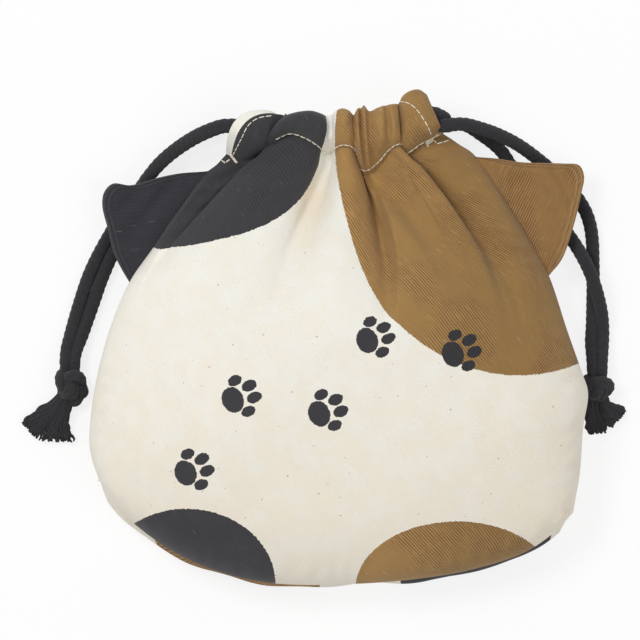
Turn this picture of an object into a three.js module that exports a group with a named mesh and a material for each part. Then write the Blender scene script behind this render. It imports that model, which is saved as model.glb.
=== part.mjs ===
// A cloth drawstring pouch with two ear tabs, lying on its back and drawn nearly shut.
// Units are millimetres. +Z is up out of the face, +Y points to the mouth and +X to the right.
// The origin is on the table, under the middle of the pouch without its cords.

import * as THREE from "three";

// Cloth, thread and the air left between pieces that touch
const CLOTH = 1.0;
const THREAD = 0.6;
const GAP = 0.3;

// The seam that joins the two panels, as seen from above
const LEFT_SEAM = [
  [-95.6, -57],
  [-99.2, -45],
  [-98.9, -32],
  [-95.8, -13],
  [-90.8, 4.6],
  [-83.4, 22.2],
  [-74.2, 35.6],
  [-63.8, 50.8],
  [-53.4, 65.6],
];
const RIGHT_SEAM = [
  [94, -70],
  [96.8, -53.4],
  [98, -36],
  [100, -22],
  [97.2, -13],
  [91.6, 3],
  [84.4, 24.6],
  [78.2, 36.2],
  [71.2, 48.2],
  [62.8, 60.8],
  [53.2, 70.8],
];
const BOTTOM_SEAM = [
  [-87.2, -69],
  [-78.4, -77],
  [-66.8, -85],
  [-49.6, -93],
  [-26.4, -98.2],
  [9.2, -98.4],
  [37.2, -95.8],
  [54.4, -92.6],
  [74.4, -86],
  [86.8, -77.6],
];
const SEAM_HEIGHT = 18;
const SEAM_ALLOWANCE = 7;
const OVERLOCK_WIDTH = 1.6;

// How far each panel swells from the seam; the back is flat where it lies on the table
const FRONT_SWELL = 30;
const BACK_SWELL = 27;
const ROUNDNESS = 2.4;
const SWELL_PEAK = 0.5;
const FOLD_DEPTH = 2.6;
const FOLD_COUNT = 6;

// The gathered mouth, with one casing on each panel
const MOUTH = { x: -1, y: 74.6, tilt: 3.7 };
const MOUTH_WIDTH = 84;
const MOUTH_GAP = 7;
const CASING_BASE = 3;
const CASING_SLACK = 0.6;
const TABLE_CLEARANCE = 0.3;
const PUCKER = 0.9;
const PUCKER_PITCH = 12;
const HEM_INSET = 3;

// Cords
const CORD = 5.2;
const CORD_BEND = 3.4;

// Ears: height out from the seam, and how far up the pouch each one starts
const EAR_BASE = 52;
const EAR_TIP_RADIUS = 6;
const EARS = {
  left: { height: 28.5, from: 23.5 },
  right: { height: 33.5, from: 25.5 },
};

// Knots: the middle as seen from above, and the sizes across, along the cord and through
const KNOTS = {
  left: { at: [-107.6, -18.4], size: [12.8, 15.4, 11] },
  right: { at: [104.1, -19.8], size: [12.8, 12.6, 11] },
};

// Routes of the free cords as x, y and lift off the table, from a little outside the casing
const CORD_ROUTES = {
  left_cord_back: [
    [-53.6, 81.4, 2.4],
    [-59.2, 78.0, 1.6],
    [-65.6, 73.6, 0.6],
    [-71.2, 69.0, 0.1],
    [-76.0, 64.2, 0],
    [-80.2, 59.4, 0],
    [-84.4, 54.0, 0],
    [-88.2, 48.2, 0],
    [-91.9, 41.8, 0],
    [-95.2, 36.0, 0],
    [-98.1, 30.4, 0],
    [-100.9, 24.0, 0],
    [-103.4, 16.6, 0],
    [-105.8, 9.0, 0],
    [-108.2, 0.6, 0.6],
    [-109.8, -5.0, 1.8],
  ],
  left_cord_front: [
    [-53.4, 81.6, 18.6],
    [-58.8, 78.4, 15.0],
    [-65.2, 74.0, 10.6],
    [-71.0, 69.2, 7.8],
    [-75.6, 64.2, 6.4],
    [-78.6, 58.6, 5.8],
    [-80.4, 52.4, 4.8],
    [-83.0, 46.0, 2.4],
    [-86.4, 39.6, 0.6],
    [-90.0, 33.6, 0],
    [-92.6, 28.0, 0],
    [-95.0, 22.0, 0],
    [-97.4, 15.0, 0],
    [-99.9, 7.6, 0],
    [-102.4, 0.2, 0.6],
    [-104.2, -5.2, 1.8],
  ],
  right_cord_front: [
    [50.0, 84.4, 20.0],
    [57.2, 83.6, 15.8],
    [64.8, 81.0, 9.6],
    [72.8, 77.0, 4.0],
    [80.4, 71.6, 0.8],
    [87.0, 65.6, 0],
    [92.2, 60.4, 0],
    [96.2, 55.4, 0],
    [99.2, 50.2, 0],
    [101.0, 44.4, 0],
    [101.8, 38.0, 0],
    [101.8, 31.0, 0],
    [101.6, 24.0, 0],
    [101.4, 15.0, 0],
    [101.2, 5.0, 0],
    [101.2, -2.0, 0.6],
    [101.3, -7.0, 1.8],
  ],
  right_cord_back: [
    [50.0, 82.0, 2.6],
    [57.0, 78.6, 1.2],
    [64.0, 73.8, 0.2],
    [70.0, 68.4, 0],
    [76.4, 61.8, 0],
    [82.6, 54.8, 0.2],
    [88.4, 47.4, 1.6],
    [93.0, 41.2, 4.6],
    [96.8, 35.4, 6.8],
    [100.0, 29.6, 7.4],
    [102.8, 23.6, 6.8],
    [105.4, 16.6, 4.2],
    [107.0, 9.4, 1.2],
    [107.2, 3.0, 0],
    [107.0, -2.0, 0.6],
    [106.9, -7.0, 1.8],
  ],
};

// Frayed ends below each knot, as x, y, lift off the table and width
const TAIL_ROUTES = {
  left_cord_tail_outer: [
    [-111.6, -29.8, 1.8, 5.4],
    [-114.8, -31.2, 1.0, 7.2],
    [-119.8, -33.2, 0, 10.4],
    [-125.4, -35.4, 0, 12.0],
    [-128.4, -36.4, 0, 10.4],
  ],
  left_cord_tail_inner: [
    [-105.0, -30.2, 1.8, 5.6],
    [-105.4, -32.8, 1.0, 7.0],
    [-106.2, -36.2, 0, 9.4],
    [-107.0, -39.6, 0, 11.2],
    [-107.4, -42.0, 0, 10.0],
  ],
  right_cord_tail_outer: [
    [107.5, -30.0, 1.8, 5.6],
    [109.4, -31.4, 1.0, 6.8],
    [112.2, -32.8, 0, 8.4],
    [115.2, -34.2, 0, 9.4],
    [117.2, -35.2, 0, 8.4],
  ],
  right_cord_tail_inner: [
    [101.4, -29.8, 1.8, 5.6],
    [101.8, -31.8, 1.0, 7.0],
    [102.6, -34.6, 0, 9.2],
    [103.2, -37.8, 0, 10.6],
    [103.4, -39.8, 0, 9.4],
  ],
};
const TAIL_THICKNESS = 5;

// Colours
const COLOURS = {
  twill: 0xe6ddcb,
  black: 0x36363a,
  brown: 0x98784f,
  cord: 0x2c2c31,
  thread: 0xe8dcc0,
};

// What follows from the sizes above
const SEAM_HALF = CLOTH + GAP / 2;
const BORE_HALF_HEIGHT = CORD + GAP + CASING_SLACK;
const BORE_HALF_DEPTH = CORD / 2 + CASING_SLACK;
const CASING_HALF_DEPTH = BORE_HALF_DEPTH + PUCKER + CLOTH;
const BORE_CENTRE = CASING_BASE + CLOTH + BORE_HALF_HEIGHT;
const BACK_CASING_Z = TABLE_CLEARANCE + THREAD + GAP + CASING_HALF_DEPTH;
const FRONT_CASING_Z = BACK_CASING_Z + 2 * CASING_HALF_DEPTH + MOUTH_GAP;
const MOUTH_Z = (BACK_CASING_Z + FRONT_CASING_Z) / 2;
const CORD_STEP = (CORD + GAP) / 2;
const CORD_LINE = { left: BORE_CENTRE + CORD_STEP, right: BORE_CENTRE - CORD_STEP };
const TILT = THREE.MathUtils.degToRad(MOUTH.tilt);

// Mesh counts
const PANEL_COLUMNS = 28;
const PANEL_ROWS = 20;
const CASING_STATIONS = 22;
const SECTION_POINTS = 16;
const CORD_SIDES = 8;
const CORD_STEPS = 30;

const UP = new THREE.Vector3(0, 0, 1);
const smooth = THREE.MathUtils.smoothstep;
const mix = THREE.MathUtils.lerp;

// Collects points and faces, and turns them into a closed geometry that faces out
class Surface {
  constructor() {
    this.points = [];
    this.faces = [];
  }

  add(point) {
    this.points.push(point);
    return this.points.length - 1;
  }

  quad(a, b, c, d) {
    this.faces.push([a, b, c], [a, c, d]);
  }

  // Joins two rows of point numbers with quads, all the way round when closed is true
  bridge(low, high, closed = false) {
    const last = closed ? low.length : low.length - 1;
    for (let i = 0; i < last; i++) {
      const j = (i + 1) % low.length;
      this.quad(low[i], low[j], high[j], high[i]);
    }
  }

  // Closes a ring of point numbers with a fan from its middle
  cap(ring) {
    const middle = new THREE.Vector3();
    ring.forEach((n) => middle.addScaledVector(this.points[n], 1 / ring.length));
    const hub = this.add(middle);
    ring.forEach((n, i) => this.faces.push([n, ring[(i + 1) % ring.length], hub]));
  }

  volume() {
    const cross = new THREE.Vector3();
    return this.faces.reduce((sum, [a, b, c]) => {
      cross.crossVectors(this.points[b], this.points[c]);
      return sum + this.points[a].dot(cross) / 6;
    }, 0);
  }

  geometry() {
    const turned = this.volume() < 0 ? this.faces.map(([a, b, c]) => [a, c, b]) : this.faces;
    const made = new THREE.BufferGeometry().setFromPoints(this.points);
    made.setIndex(turned.flat());
    made.computeVertexNormals();
    return made;
  }
}

// From the mouth's own frame, x along the casings and y out of the mouth, to the part's frame
function fromMouth(x, y, z) {
  const turned = new THREE.Vector3(x, y, z).applyAxisAngle(UP, TILT);
  return turned.add(new THREE.Vector3(MOUTH.x, MOUTH.y, 0));
}

// The height of the seam: level round the belly, and lower towards the mouth
function seamHeight(y) {
  return mix(SEAM_HEIGHT, MOUTH_Z, smooth(y, 0, MOUTH.y));
}

function planCurve(points) {
  return new THREE.CatmullRomCurve3(points.map(([x, y]) => new THREE.Vector3(x, y, 0)));
}

function mouthEnd(side) {
  const end = fromMouth((side * MOUTH_WIDTH) / 2, 0, 0);
  return [end.x, end.y];
}

const leftCurve = planCurve([...LEFT_SEAM, mouthEnd(-1)]);
const rightCurve = planCurve([...RIGHT_SEAM, mouthEnd(1)]);
const bottomCurve = planCurve([LEFT_SEAM[0], ...BOTTOM_SEAM, RIGHT_SEAM[0]]);

// A point of the panels' plan, with u from the left seam to the right and v from bottom to mouth
function planPoint(u, v) {
  const left = leftCurve.getPointAt(v);
  const right = rightCurve.getPointAt(v);
  const low = bottomCurve.getPointAt(u);
  const high = fromMouth((u - 0.5) * MOUTH_WIDTH, 0, 0);
  const lowCorners = leftCurve.getPointAt(0).lerp(rightCurve.getPointAt(0), u);
  const highCorners = leftCurve.getPointAt(1).lerp(rightCurve.getPointAt(1), u);
  return left.lerp(right, u).add(low.lerp(high, v)).sub(lowCorners.lerp(highCorners, v));
}

// How far a panel stands off the seam: full at the belly, and out to the casing at the mouth
function swell(u, v, full, atMouth) {
  const across = Math.sqrt(Math.max(0, 1 - Math.abs(2 * u - 1) ** ROUNDNESS));
  const along = Math.sqrt(1 - (1 - Math.min(v / SWELL_PEAK, 1)) ** ROUNDNESS);
  const both = across * along;
  const belly = both === 0 ? 0 : both / Math.sqrt(across ** 2 + along ** 2 - both ** 2);
  const mouth = Math.sqrt(1 - (1 - Math.min(u / 0.09, (1 - u) / 0.09, 1)) ** 2);
  return mix(full * belly, atMouth * mouth, smooth(v, SWELL_PEAK, 1));
}

// Folds that run down from the gathers and die away towards the belly and the seams
function fold(u, v) {
  const strength = smooth(v, 0.55, 0.84) * (1 - smooth(v, 0.9, 1));
  const clearOfSeams = smooth(Math.min(u, 1 - u), 0.03, 0.16);
  return FOLD_DEPTH * strength * clearOfSeams * Math.sin(2 * Math.PI * FOLD_COUNT * u);
}

function panelPoint(side, u, v) {
  const at = planPoint(u, v);
  const casing = side > 0 ? FRONT_CASING_Z : BACK_CASING_Z;
  const atMouth = Math.abs(casing - MOUTH_Z) + CLOTH / 2;
  const full = side > 0 ? FRONT_SWELL : BACK_SWELL;
  const offset = GAP / 2 + swell(u, v, full, atMouth) + fold(u, v);
  at.z = Math.max(0, seamHeight(at.y) + side * offset);
  return at;
}

// Places from 0 to 1 that lie closer together at both ends
function eased(n, count) {
  return 0.5 - 0.5 * Math.cos((Math.PI * n) / count);
}

function panelGrid(side) {
  const grid = [];
  for (let j = 0; j <= PANEL_ROWS; j++) {
    const row = [];
    for (let i = 0; i <= PANEL_COLUMNS; i++) {
      row.push(panelPoint(side, eased(i, PANEL_COLUMNS), eased(j, PANEL_ROWS)));
    }
    grid.push(row);
  }
  return grid;
}

function gridNormal(grid, i, j) {
  const [left, right] = [Math.max(i - 1, 0), Math.min(i + 1, PANEL_COLUMNS)];
  const [low, high] = [Math.max(j - 1, 0), Math.min(j + 1, PANEL_ROWS)];
  const across = grid[j][right].clone().sub(grid[j][left]);
  const along = grid[high][i].clone().sub(grid[low][i]);
  return across.cross(along).normalize();
}

// The seam's grid places from the mouth down the left, along the bottom and up the right.
// Each has its outward direction in plan and how far the allowance is turned in there.
function seamLine(grid) {
  const places = [];
  for (let j = PANEL_ROWS; j > 0; j--) places.push([0, j]);
  for (let i = 0; i <= PANEL_COLUMNS; i++) places.push([i, 0]);
  for (let j = 1; j <= PANEL_ROWS; j++) places.push([PANEL_COLUMNS, j]);
  const line = places.map(([i, j]) => grid[j][i]);
  const away = (n, step) => {
    let k = n;
    while (line[k + step] && line[k].distanceTo(line[n]) < 2 * SEAM_ALLOWANCE) k += step;
    return line[k];
  };
  return places.map(([i, j], n) => {
    const run = away(n, 1).clone().sub(away(n, -1)).setZ(0).normalize();
    const outward = new THREE.Vector3(run.y, -run.x, 0);
    const nearMouth = smooth(j, PANEL_ROWS * 0.7, PANEL_ROWS);
    const width = mix(SEAM_ALLOWANCE, CLOTH * 1.5, nearMouth);
    return { i, j, at: line[n], outward, width };
  });
}

// One panel as a cloth shell, with its allowance turned in at the seam and its top edge raw
function panelGeometry(side) {
  const grid = panelGrid(side);
  const surface = new Surface();
  const outer = grid.map((row) => row.map((p) => surface.add(p)));
  const inner = grid.map((row, j) =>
    row.map((p, i) => surface.add(p.clone().addScaledVector(gridNormal(grid, i, j), -side * CLOTH))),
  );
  const turnedIn = seamLine(grid).map(({ i, j, at, outward, width }) => {
    const face = at.clone().addScaledVector(outward, -width);
    const inside = face.clone().addScaledVector(UP, side * CLOTH);
    const corner = at.clone().addScaledVector(outward, -CLOTH).addScaledVector(UP, side * CLOTH);
    surface.points[inner[j][i]].copy(corner);
    return [outer[j][i], surface.add(face), surface.add(inside), inner[j][i]];
  });
  for (let j = 0; j < PANEL_ROWS; j++) {
    surface.bridge(outer[j], outer[j + 1]);
    surface.bridge(inner[j + 1], inner[j]);
  }
  for (let n = 0; n + 1 < turnedIn.length; n++) {
    surface.bridge(turnedIn[n], turnedIn[n + 1]);
  }
  surface.bridge(outer[PANEL_ROWS], inner[PANEL_ROWS]);
  surface.quad(...turnedIn[0].toReversed());
  surface.quad(...turnedIn[turnedIn.length - 1]);
  return surface.geometry();
}

// Overlock thread that binds the edges of both allowances, over some of the seam's places
function overlockGeometry(from, to) {
  const half = SEAM_HALF + GAP;
  const surface = new Surface();
  const rings = seamLine(panelGrid(1))
    .slice(from, to)
    .map(({ at, outward, width }) => {
      const middle = at.clone().setZ(seamHeight(at.y));
      const corners = [
        [width + GAP, -half],
        [width + GAP + OVERLOCK_WIDTH, -half],
        [width + GAP + OVERLOCK_WIDTH, half],
        [width + GAP, half],
      ];
      return corners.map(([inward, height]) =>
        surface.add(middle.clone().addScaledVector(outward, -inward).addScaledVector(UP, height)),
      );
    });
  for (let n = 0; n + 1 < rings.length; n++) surface.bridge(rings[n], rings[n + 1], true);
  surface.quad(...rings[0].toReversed());
  surface.quad(...rings[rings.length - 1]);
  return surface.geometry();
}

// A rounded ring about the bore, in the mouth's y and z, grown by a wall and deepened by a pucker
function boreRing(grow, deepen) {
  const ring = [];
  for (let n = 0; n < SECTION_POINTS; n++) {
    const angle = (2 * Math.PI * (n + 0.5)) / SECTION_POINTS;
    const [c, s] = [Math.cos(angle), Math.sin(angle)];
    const y = (BORE_HALF_HEIGHT + grow) * Math.sign(c) * Math.abs(c) ** 0.77;
    const z = (BORE_HALF_DEPTH + grow + deepen) * Math.sign(s) * Math.abs(s) ** 0.77;
    ring.push(new THREE.Vector2(BORE_CENTRE + y, z));
  }
  return ring;
}

// The outside of a casing: round the bore, and pinched to two layers at the stitched base
function casingRing(deepen) {
  const round = boreRing(CLOTH, deepen);
  const half = SECTION_POINTS / 2;
  const base = [
    new THREE.Vector2(CASING_BASE, CLOTH),
    new THREE.Vector2(GAP, CLOTH),
    new THREE.Vector2(GAP, -CLOTH),
    new THREE.Vector2(CASING_BASE, -CLOTH),
  ];
  return [...round.slice(0, half - 1), ...base, ...round.slice(half + 1)];
}

function pucker(x, phase) {
  return PUCKER * (0.5 + 0.5 * Math.sin((2 * Math.PI * x) / PUCKER_PITCH + phase));
}

// A gathered sleeve of cloth that the cords run through
function casingGeometry(centre, phase) {
  const surface = new Surface();
  const stations = [];
  for (let n = 0; n <= CASING_STATIONS; n++) {
    const x = MOUTH_WIDTH * (n / CASING_STATIONS - 0.5);
    const deepen = pucker(x, phase);
    const place = (ring) => ring.map((p) => surface.add(fromMouth(x, p.x, centre + p.y)));
    const outerRing = casingRing(deepen);
    const boreHere = boreRing(0, deepen);
    stations.push({ outerRing, boreHere, outer: place(outerRing), inner: place(boreHere) });
  }
  for (let n = 0; n < CASING_STATIONS; n++) {
    surface.bridge(stations[n].outer, stations[n + 1].outer, true);
    surface.bridge(stations[n + 1].inner, stations[n].inner, true);
  }
  for (const { outerRing, boreHere, outer, inner } of [stations[0], stations[CASING_STATIONS]]) {
    const points = [...outer, ...inner];
    const first = outer === stations[0].outer;
    for (const [a, b, c] of THREE.ShapeUtils.triangulateShape(outerRing, [boreHere])) {
      const face = [points[a], points[b], points[c]];
      surface.faces.push(first ? face.toReversed() : face);
    }
  }
  return surface.geometry();
}

// A round tube along points
function tube(points, diameter, steps, sides = CORD_SIDES) {
  const section = new THREE.Shape().absarc(0, 0, diameter / 2, 0, 2 * Math.PI, false);
  return new THREE.ExtrudeGeometry(section, {
    steps,
    curveSegments: sides / 2,
    extrudePath: new THREE.CatmullRomCurve3(points),
  });
}

// A rounded solid along points, with a full width and a full thickness at each of them
function swept(points, widths, thicknesses) {
  const surface = new Surface();
  const rings = points.map((at, n) => {
    const before = points[Math.max(n - 1, 0)];
    const after = points[Math.min(n + 1, points.length - 1)];
    const side = after.clone().sub(before).cross(UP).normalize();
    const ring = [];
    for (let k = 0; k < 12; k++) {
      const angle = (Math.PI * k) / 6;
      const p = at.clone().addScaledVector(side, (Math.cos(angle) * widths[n]) / 2);
      ring.push(surface.add(p.addScaledVector(UP, (Math.sin(angle) * thicknesses[n]) / 2)));
    }
    return ring;
  });
  for (let n = 0; n + 1 < rings.length; n++) surface.bridge(rings[n], rings[n + 1], true);
  surface.cap(rings[0].toReversed());
  surface.cap(rings[rings.length - 1]);
  return surface.geometry();
}

// A cord's place in its casing: side is -1 at the left end of the mouth and 1 at the right
function atCasingEnd(side, line, z, beyond) {
  return fromMouth(side * (MOUTH_WIDTH / 2 + beyond), line, z);
}

// Where a cord meets its knot: way is 1 above the knot and -1 below it
function atKnot(cord, lane, way, beyond) {
  const { at, size } = KNOTS[cord];
  return new THREE.Vector3(
    at[0] + lane * CORD_STEP,
    at[1] + way * (size[1] / 2 + GAP + beyond),
    size[2] / 2,
  );
}

// A free cord: straight out of its casing, along its route, and straight down to its knot
function freeCord(name) {
  const cord = name.startsWith("left") ? "left" : "right";
  const side = cord === "left" ? -1 : 1;
  const z = name.endsWith("front") ? FRONT_CASING_Z : BACK_CASING_Z;
  const route = CORD_ROUTES[name].map(([x, y, lift]) => new THREE.Vector3(x, y, lift + CORD / 2));
  const lane = Math.sign(route[route.length - 1].x - KNOTS[cord].at[0]);
  const points = [
    atCasingEnd(side, CORD_LINE[cord], z, GAP),
    atCasingEnd(side, CORD_LINE[cord], z, CORD / 2),
    ...route,
    atKnot(cord, lane, 1, 1),
    atKnot(cord, lane, 1, 0),
  ];
  return tube(points, CORD, CORD_STEPS);
}

// The straight run of a cord inside its casing
function casingRun(line, z) {
  return tube([atCasingEnd(-1, line, z, 0), atCasingEnd(1, line, z, 0)], CORD, 4);
}

// The turn of a cord from the front casing round to the back one, past the end of the mouth
function cordTurn(side, line) {
  const points = [];
  for (const [level, way] of [[FRONT_CASING_Z, -1], [BACK_CASING_Z, 1]]) {
    const bend = [atCasingEnd(side, line, level, GAP)];
    for (let n = 0; n <= 4; n++) {
      const angle = (Math.PI / 2) * (n / 4);
      const beyond = 2 * GAP + CORD_BEND * Math.sin(angle);
      bend.push(atCasingEnd(side, line, level + way * CORD_BEND * (1 - Math.cos(angle)), beyond));
    }
    points.push(...(way < 0 ? bend : bend.toReversed()));
  }
  return tube(points, CORD, 20);
}

// An overhand knot's lump, with two soft lobes and flat ends for the cords
function knotGeometry({ at, size }) {
  const [across, length, through] = size;
  const neck = 2 * CORD + GAP + CLOTH;
  const stations = [
    [0, neck, CORD + CLOTH],
    [0.1, mix(neck, across, 0.7), through * 0.86],
    [0.28, across, through],
    [0.5, across * 0.92, through * 0.92],
    [0.72, across, through],
    [0.9, mix(neck, across, 0.7), through * 0.86],
    [1, neck, CORD + CLOTH],
  ];
  const points = stations.map(([t]) => {
    return new THREE.Vector3(at[0], at[1] + (t - 0.5) * length, through / 2);
  });
  return swept(points, stations.map((s) => s[1]), stations.map((s) => s[2]));
}

// A frayed cord end, like a flat brush that widens from the knot
function tailGeometry(name) {
  const cord = name.startsWith("left") ? "left" : "right";
  const route = TAIL_ROUTES[name];
  const lane = Math.sign(route[0][0] - KNOTS[cord].at[0]);
  const points = [
    atKnot(cord, lane, -1, 0),
    atKnot(cord, lane, -1, 2),
    ...route.map(([x, y, lift]) => new THREE.Vector3(x, y, lift + TAIL_THICKNESS / 2)),
  ];
  const widths = [CORD, CORD, ...route.map((place) => place[3])];
  const thicknesses = [CORD, CORD, ...route.map(() => TAIL_THICKNESS)];
  return swept(points, widths, thicknesses);
}

// The straight line that an ear turns about, just clear of the seam that holds the ear, and
// the ear's inner edge in the ear's own frame: x out from that line and y along it
function earLine(side, from) {
  const seam = (side < 0 ? leftCurve : rightCurve).getSpacedPoints(200);
  const low = seam.find((p) => p.y >= from);
  const high = seam.find((p) => p.y > from && p.distanceTo(low) >= EAR_BASE);
  const along = high.clone().sub(low).normalize();
  const outward = new THREE.Vector3(along.y * side, -along.x * side, 0);
  const held = seam.slice(seam.indexOf(low), seam.indexOf(high) + 1);
  const bulge = Math.max(...held.map((p) => p.clone().sub(low).dot(outward)));
  const middle = low.clone().add(high).multiplyScalar(0.5);
  middle.addScaledVector(outward, bulge + CLOTH + 2 * GAP);
  const innerEdge = held
    .filter((p, n) => n % 6 === 0)
    .map((p) => p.clone().sub(middle))
    .map((p) => new THREE.Vector2(p.dot(outward) + 2 * GAP, p.dot(along)));
  middle.z = (seamHeight(low.y) + seamHeight(high.y)) / 2;
  return { middle, along, outward, innerEdge };
}

// One layer of an ear in its own frame, with z through the cloth
function earLayer(height, innerEdge, layer) {
  const half = EAR_BASE / 2;
  const slant = Math.hypot(height, half);
  const cutX = height - (EAR_TIP_RADIUS * height) / slant;
  const cutY = (EAR_TIP_RADIUS * half) / slant;
  const shape = new THREE.Shape();
  shape.moveTo(0, -half);
  shape.lineTo(cutX, -cutY);
  shape.quadraticCurveTo(height, 0, cutX, cutY);
  shape.lineTo(0, half);
  innerEdge.toReversed().forEach((p) => shape.lineTo(p.x, p.y));
  shape.closePath();
  const made = new THREE.ExtrudeGeometry(shape, {
    depth: CLOTH,
    bevelEnabled: false,
    curveSegments: 6,
  });
  made.translate(0, 0, layer > 0 ? GAP / 2 : -GAP / 2 - CLOTH);
  return made;
}

function piece(name, geometry, colour) {
  const material = new THREE.MeshStandardMaterial({ color: colour, roughness: 0.9, metalness: 0 });
  const mesh = new THREE.Mesh(geometry, material);
  mesh.name = name;
  return mesh;
}

function ear(name, side, colour) {
  const { height, from } = EARS[name];
  const { middle, along, outward, innerEdge } = earLine(side, from);
  const through = new THREE.Vector3().crossVectors(outward, along);
  const made = new THREE.Group();
  made.name = `${name}_ear`;
  made.matrixAutoUpdate = false;
  made.matrix.makeBasis(outward, along, through).setPosition(middle);
  made.add(piece(`${name}_ear_front`, earLayer(height, innerEdge, side), colour));
  made.add(piece(`${name}_ear_back`, earLayer(height, innerEdge, -side), colour));
  return made;
}

// The line of thread along a casing's base, on the side of the pouch that it shows on
function casingStitch(z, side) {
  const height = z + side * (CLOTH + GAP + THREAD / 2);
  const ends = [-1, 1].map((end) => fromMouth((end * MOUTH_WIDTH) / 2, CASING_BASE / 2, height));
  return tube(ends, THREAD, 2, 4);
}

// The thread of the hem at one end of a casing, over the face of the casing that shows
function hemStitch(z, side, end) {
  const x = end * (MOUTH_WIDTH / 2 - HEM_INSET);
  const ring = boreRing(CLOTH + GAP + THREAD / 2, PUCKER);
  const points = ring.filter((p) => p.y > BORE_HALF_DEPTH).toReversed();
  return tube(points.map((p) => fromMouth(x, p.x, z + side * p.y)), THREAD, 8, 4);
}

// The bar of thread that closes the side seam at the foot of the casings' openings
function barTack(end) {
  const x = end * (MOUTH_WIDTH / 2 - THREAD);
  const reach = SEAM_HALF + THREAD;
  const ends = [-reach, reach].map((dz) => fromMouth(x, THREAD + GAP, MOUTH_Z + dz));
  return tube(ends, THREAD * 2, 2, 6);
}

const pouch = new THREE.Group();
pouch.add(piece("front_panel", panelGeometry(1), COLOURS.twill));
pouch.add(piece("back_panel", panelGeometry(-1), COLOURS.twill));
pouch.add(piece("front_casing", casingGeometry(FRONT_CASING_Z, 0), COLOURS.brown));
pouch.add(piece("back_casing", casingGeometry(BACK_CASING_Z, 1.5), COLOURS.twill));

const seamPlaces = 2 * PANEL_ROWS + PANEL_COLUMNS + 1;
const leftEnd = PANEL_ROWS - 1;
const rightStart = PANEL_ROWS + PANEL_COLUMNS + 2;
pouch.add(piece("left_side_overlock", overlockGeometry(1, leftEnd), COLOURS.thread));
pouch.add(piece("bottom_overlock", overlockGeometry(leftEnd + 2, rightStart - 2), COLOURS.thread));
pouch.add(
  piece("right_side_overlock", overlockGeometry(rightStart, seamPlaces - 1), COLOURS.thread),
);

pouch.add(ear("left", -1, COLOURS.black));
pouch.add(ear("right", 1, COLOURS.brown));

for (const [end, side] of [["left", -1], ["right", 1]]) {
  const front = hemStitch(FRONT_CASING_Z, 1, side);
  const back = hemStitch(BACK_CASING_Z, -1, side);
  pouch.add(piece(`${end}_front_hem_stitch`, front, COLOURS.thread));
  pouch.add(piece(`${end}_back_hem_stitch`, back, COLOURS.thread));
  pouch.add(piece(`${end}_bar_tack`, barTack(side), COLOURS.thread));
}
pouch.add(piece("front_casing_stitch", casingStitch(FRONT_CASING_Z, 1), COLOURS.thread));
pouch.add(piece("back_casing_stitch", casingStitch(BACK_CASING_Z, -1), COLOURS.thread));

// The pouch without its cords is centred on the origin
const middle = new THREE.Box3().setFromObject(pouch).getCenter(new THREE.Vector3());
pouch.position.set(-middle.x, -middle.y, 0);

for (const [cord, line] of Object.entries(CORD_LINE)) {
  const farSide = cord === "left" ? 1 : -1;
  pouch.add(piece(`${cord}_cord_front_run`, casingRun(line, FRONT_CASING_Z), COLOURS.cord));
  pouch.add(piece(`${cord}_cord_back_run`, casingRun(line, BACK_CASING_Z), COLOURS.cord));
  pouch.add(piece(`${cord}_cord_turn`, cordTurn(farSide, line), COLOURS.cord));
  pouch.add(piece(`${cord}_cord_knot`, knotGeometry(KNOTS[cord]), COLOURS.cord));
}
for (const name of Object.keys(CORD_ROUTES)) {
  pouch.add(piece(name, freeCord(name), COLOURS.cord));
}
for (const name of Object.keys(TAIL_ROUTES)) {
  pouch.add(piece(name, tailGeometry(name), COLOURS.cord));
}

const part = new THREE.Group();
part.add(pouch);

export default part;
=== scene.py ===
from functools import reduce

import bpy
import numpy as np
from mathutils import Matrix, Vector
from mathutils.bvhtree import BVHTree


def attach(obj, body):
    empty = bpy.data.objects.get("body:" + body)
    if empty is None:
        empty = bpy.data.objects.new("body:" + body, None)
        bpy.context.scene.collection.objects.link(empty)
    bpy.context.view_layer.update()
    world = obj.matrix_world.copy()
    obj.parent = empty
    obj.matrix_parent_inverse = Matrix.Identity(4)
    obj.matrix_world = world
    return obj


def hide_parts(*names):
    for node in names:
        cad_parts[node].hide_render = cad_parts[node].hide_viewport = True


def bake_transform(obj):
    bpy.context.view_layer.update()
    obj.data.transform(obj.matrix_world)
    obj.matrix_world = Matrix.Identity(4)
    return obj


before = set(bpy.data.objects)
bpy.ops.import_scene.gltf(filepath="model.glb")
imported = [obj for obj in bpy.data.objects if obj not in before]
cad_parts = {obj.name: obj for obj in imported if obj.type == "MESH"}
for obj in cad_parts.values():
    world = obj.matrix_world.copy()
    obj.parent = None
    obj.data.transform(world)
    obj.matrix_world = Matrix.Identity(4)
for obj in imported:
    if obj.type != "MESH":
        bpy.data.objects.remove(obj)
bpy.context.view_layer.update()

# Lengths are in millimetres up to new_mesh, in the photograph's frame, whose origin is
# this far from the part's own
MM = 0.001
SHIFT = np.array([-0.298, 2.249, 0.0])

CLOTH = 0.9
CORD = 5.2
ROPE_PITCH = 8.4
SEAM_HEIGHT = 18.0
MOUTH_Z = 14.9
MOUTH_AT = np.array([-1.0, 74.6])
MOUTH_WIDTH = 84.0
TILT = np.radians(3.7)
CASING_Z = {"front": 23.5, "back": 6.3}
CORD_LINE = {"left": 12.85, "right": 7.35}
SIDE = {"left": -1, "right": 1}


# Small tools


def smoothstep(low, high, x):
    t = np.clip((x - low) / (high - low), 0, 1)
    return t * t * (3 - 2 * t)


def mix(a, b, t):
    return a + (b - a) * t


def rounded(x, power=2):
    """Climbs from 0 to 1 like a rounded edge, steep at first."""
    return np.sqrt(np.clip(1 - (1 - np.clip(x, 0, 1)) ** power, 0, 1))


def unit(v):
    return v / np.maximum(np.linalg.norm(v, axis=-1, keepdims=True), 1e-9)


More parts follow.
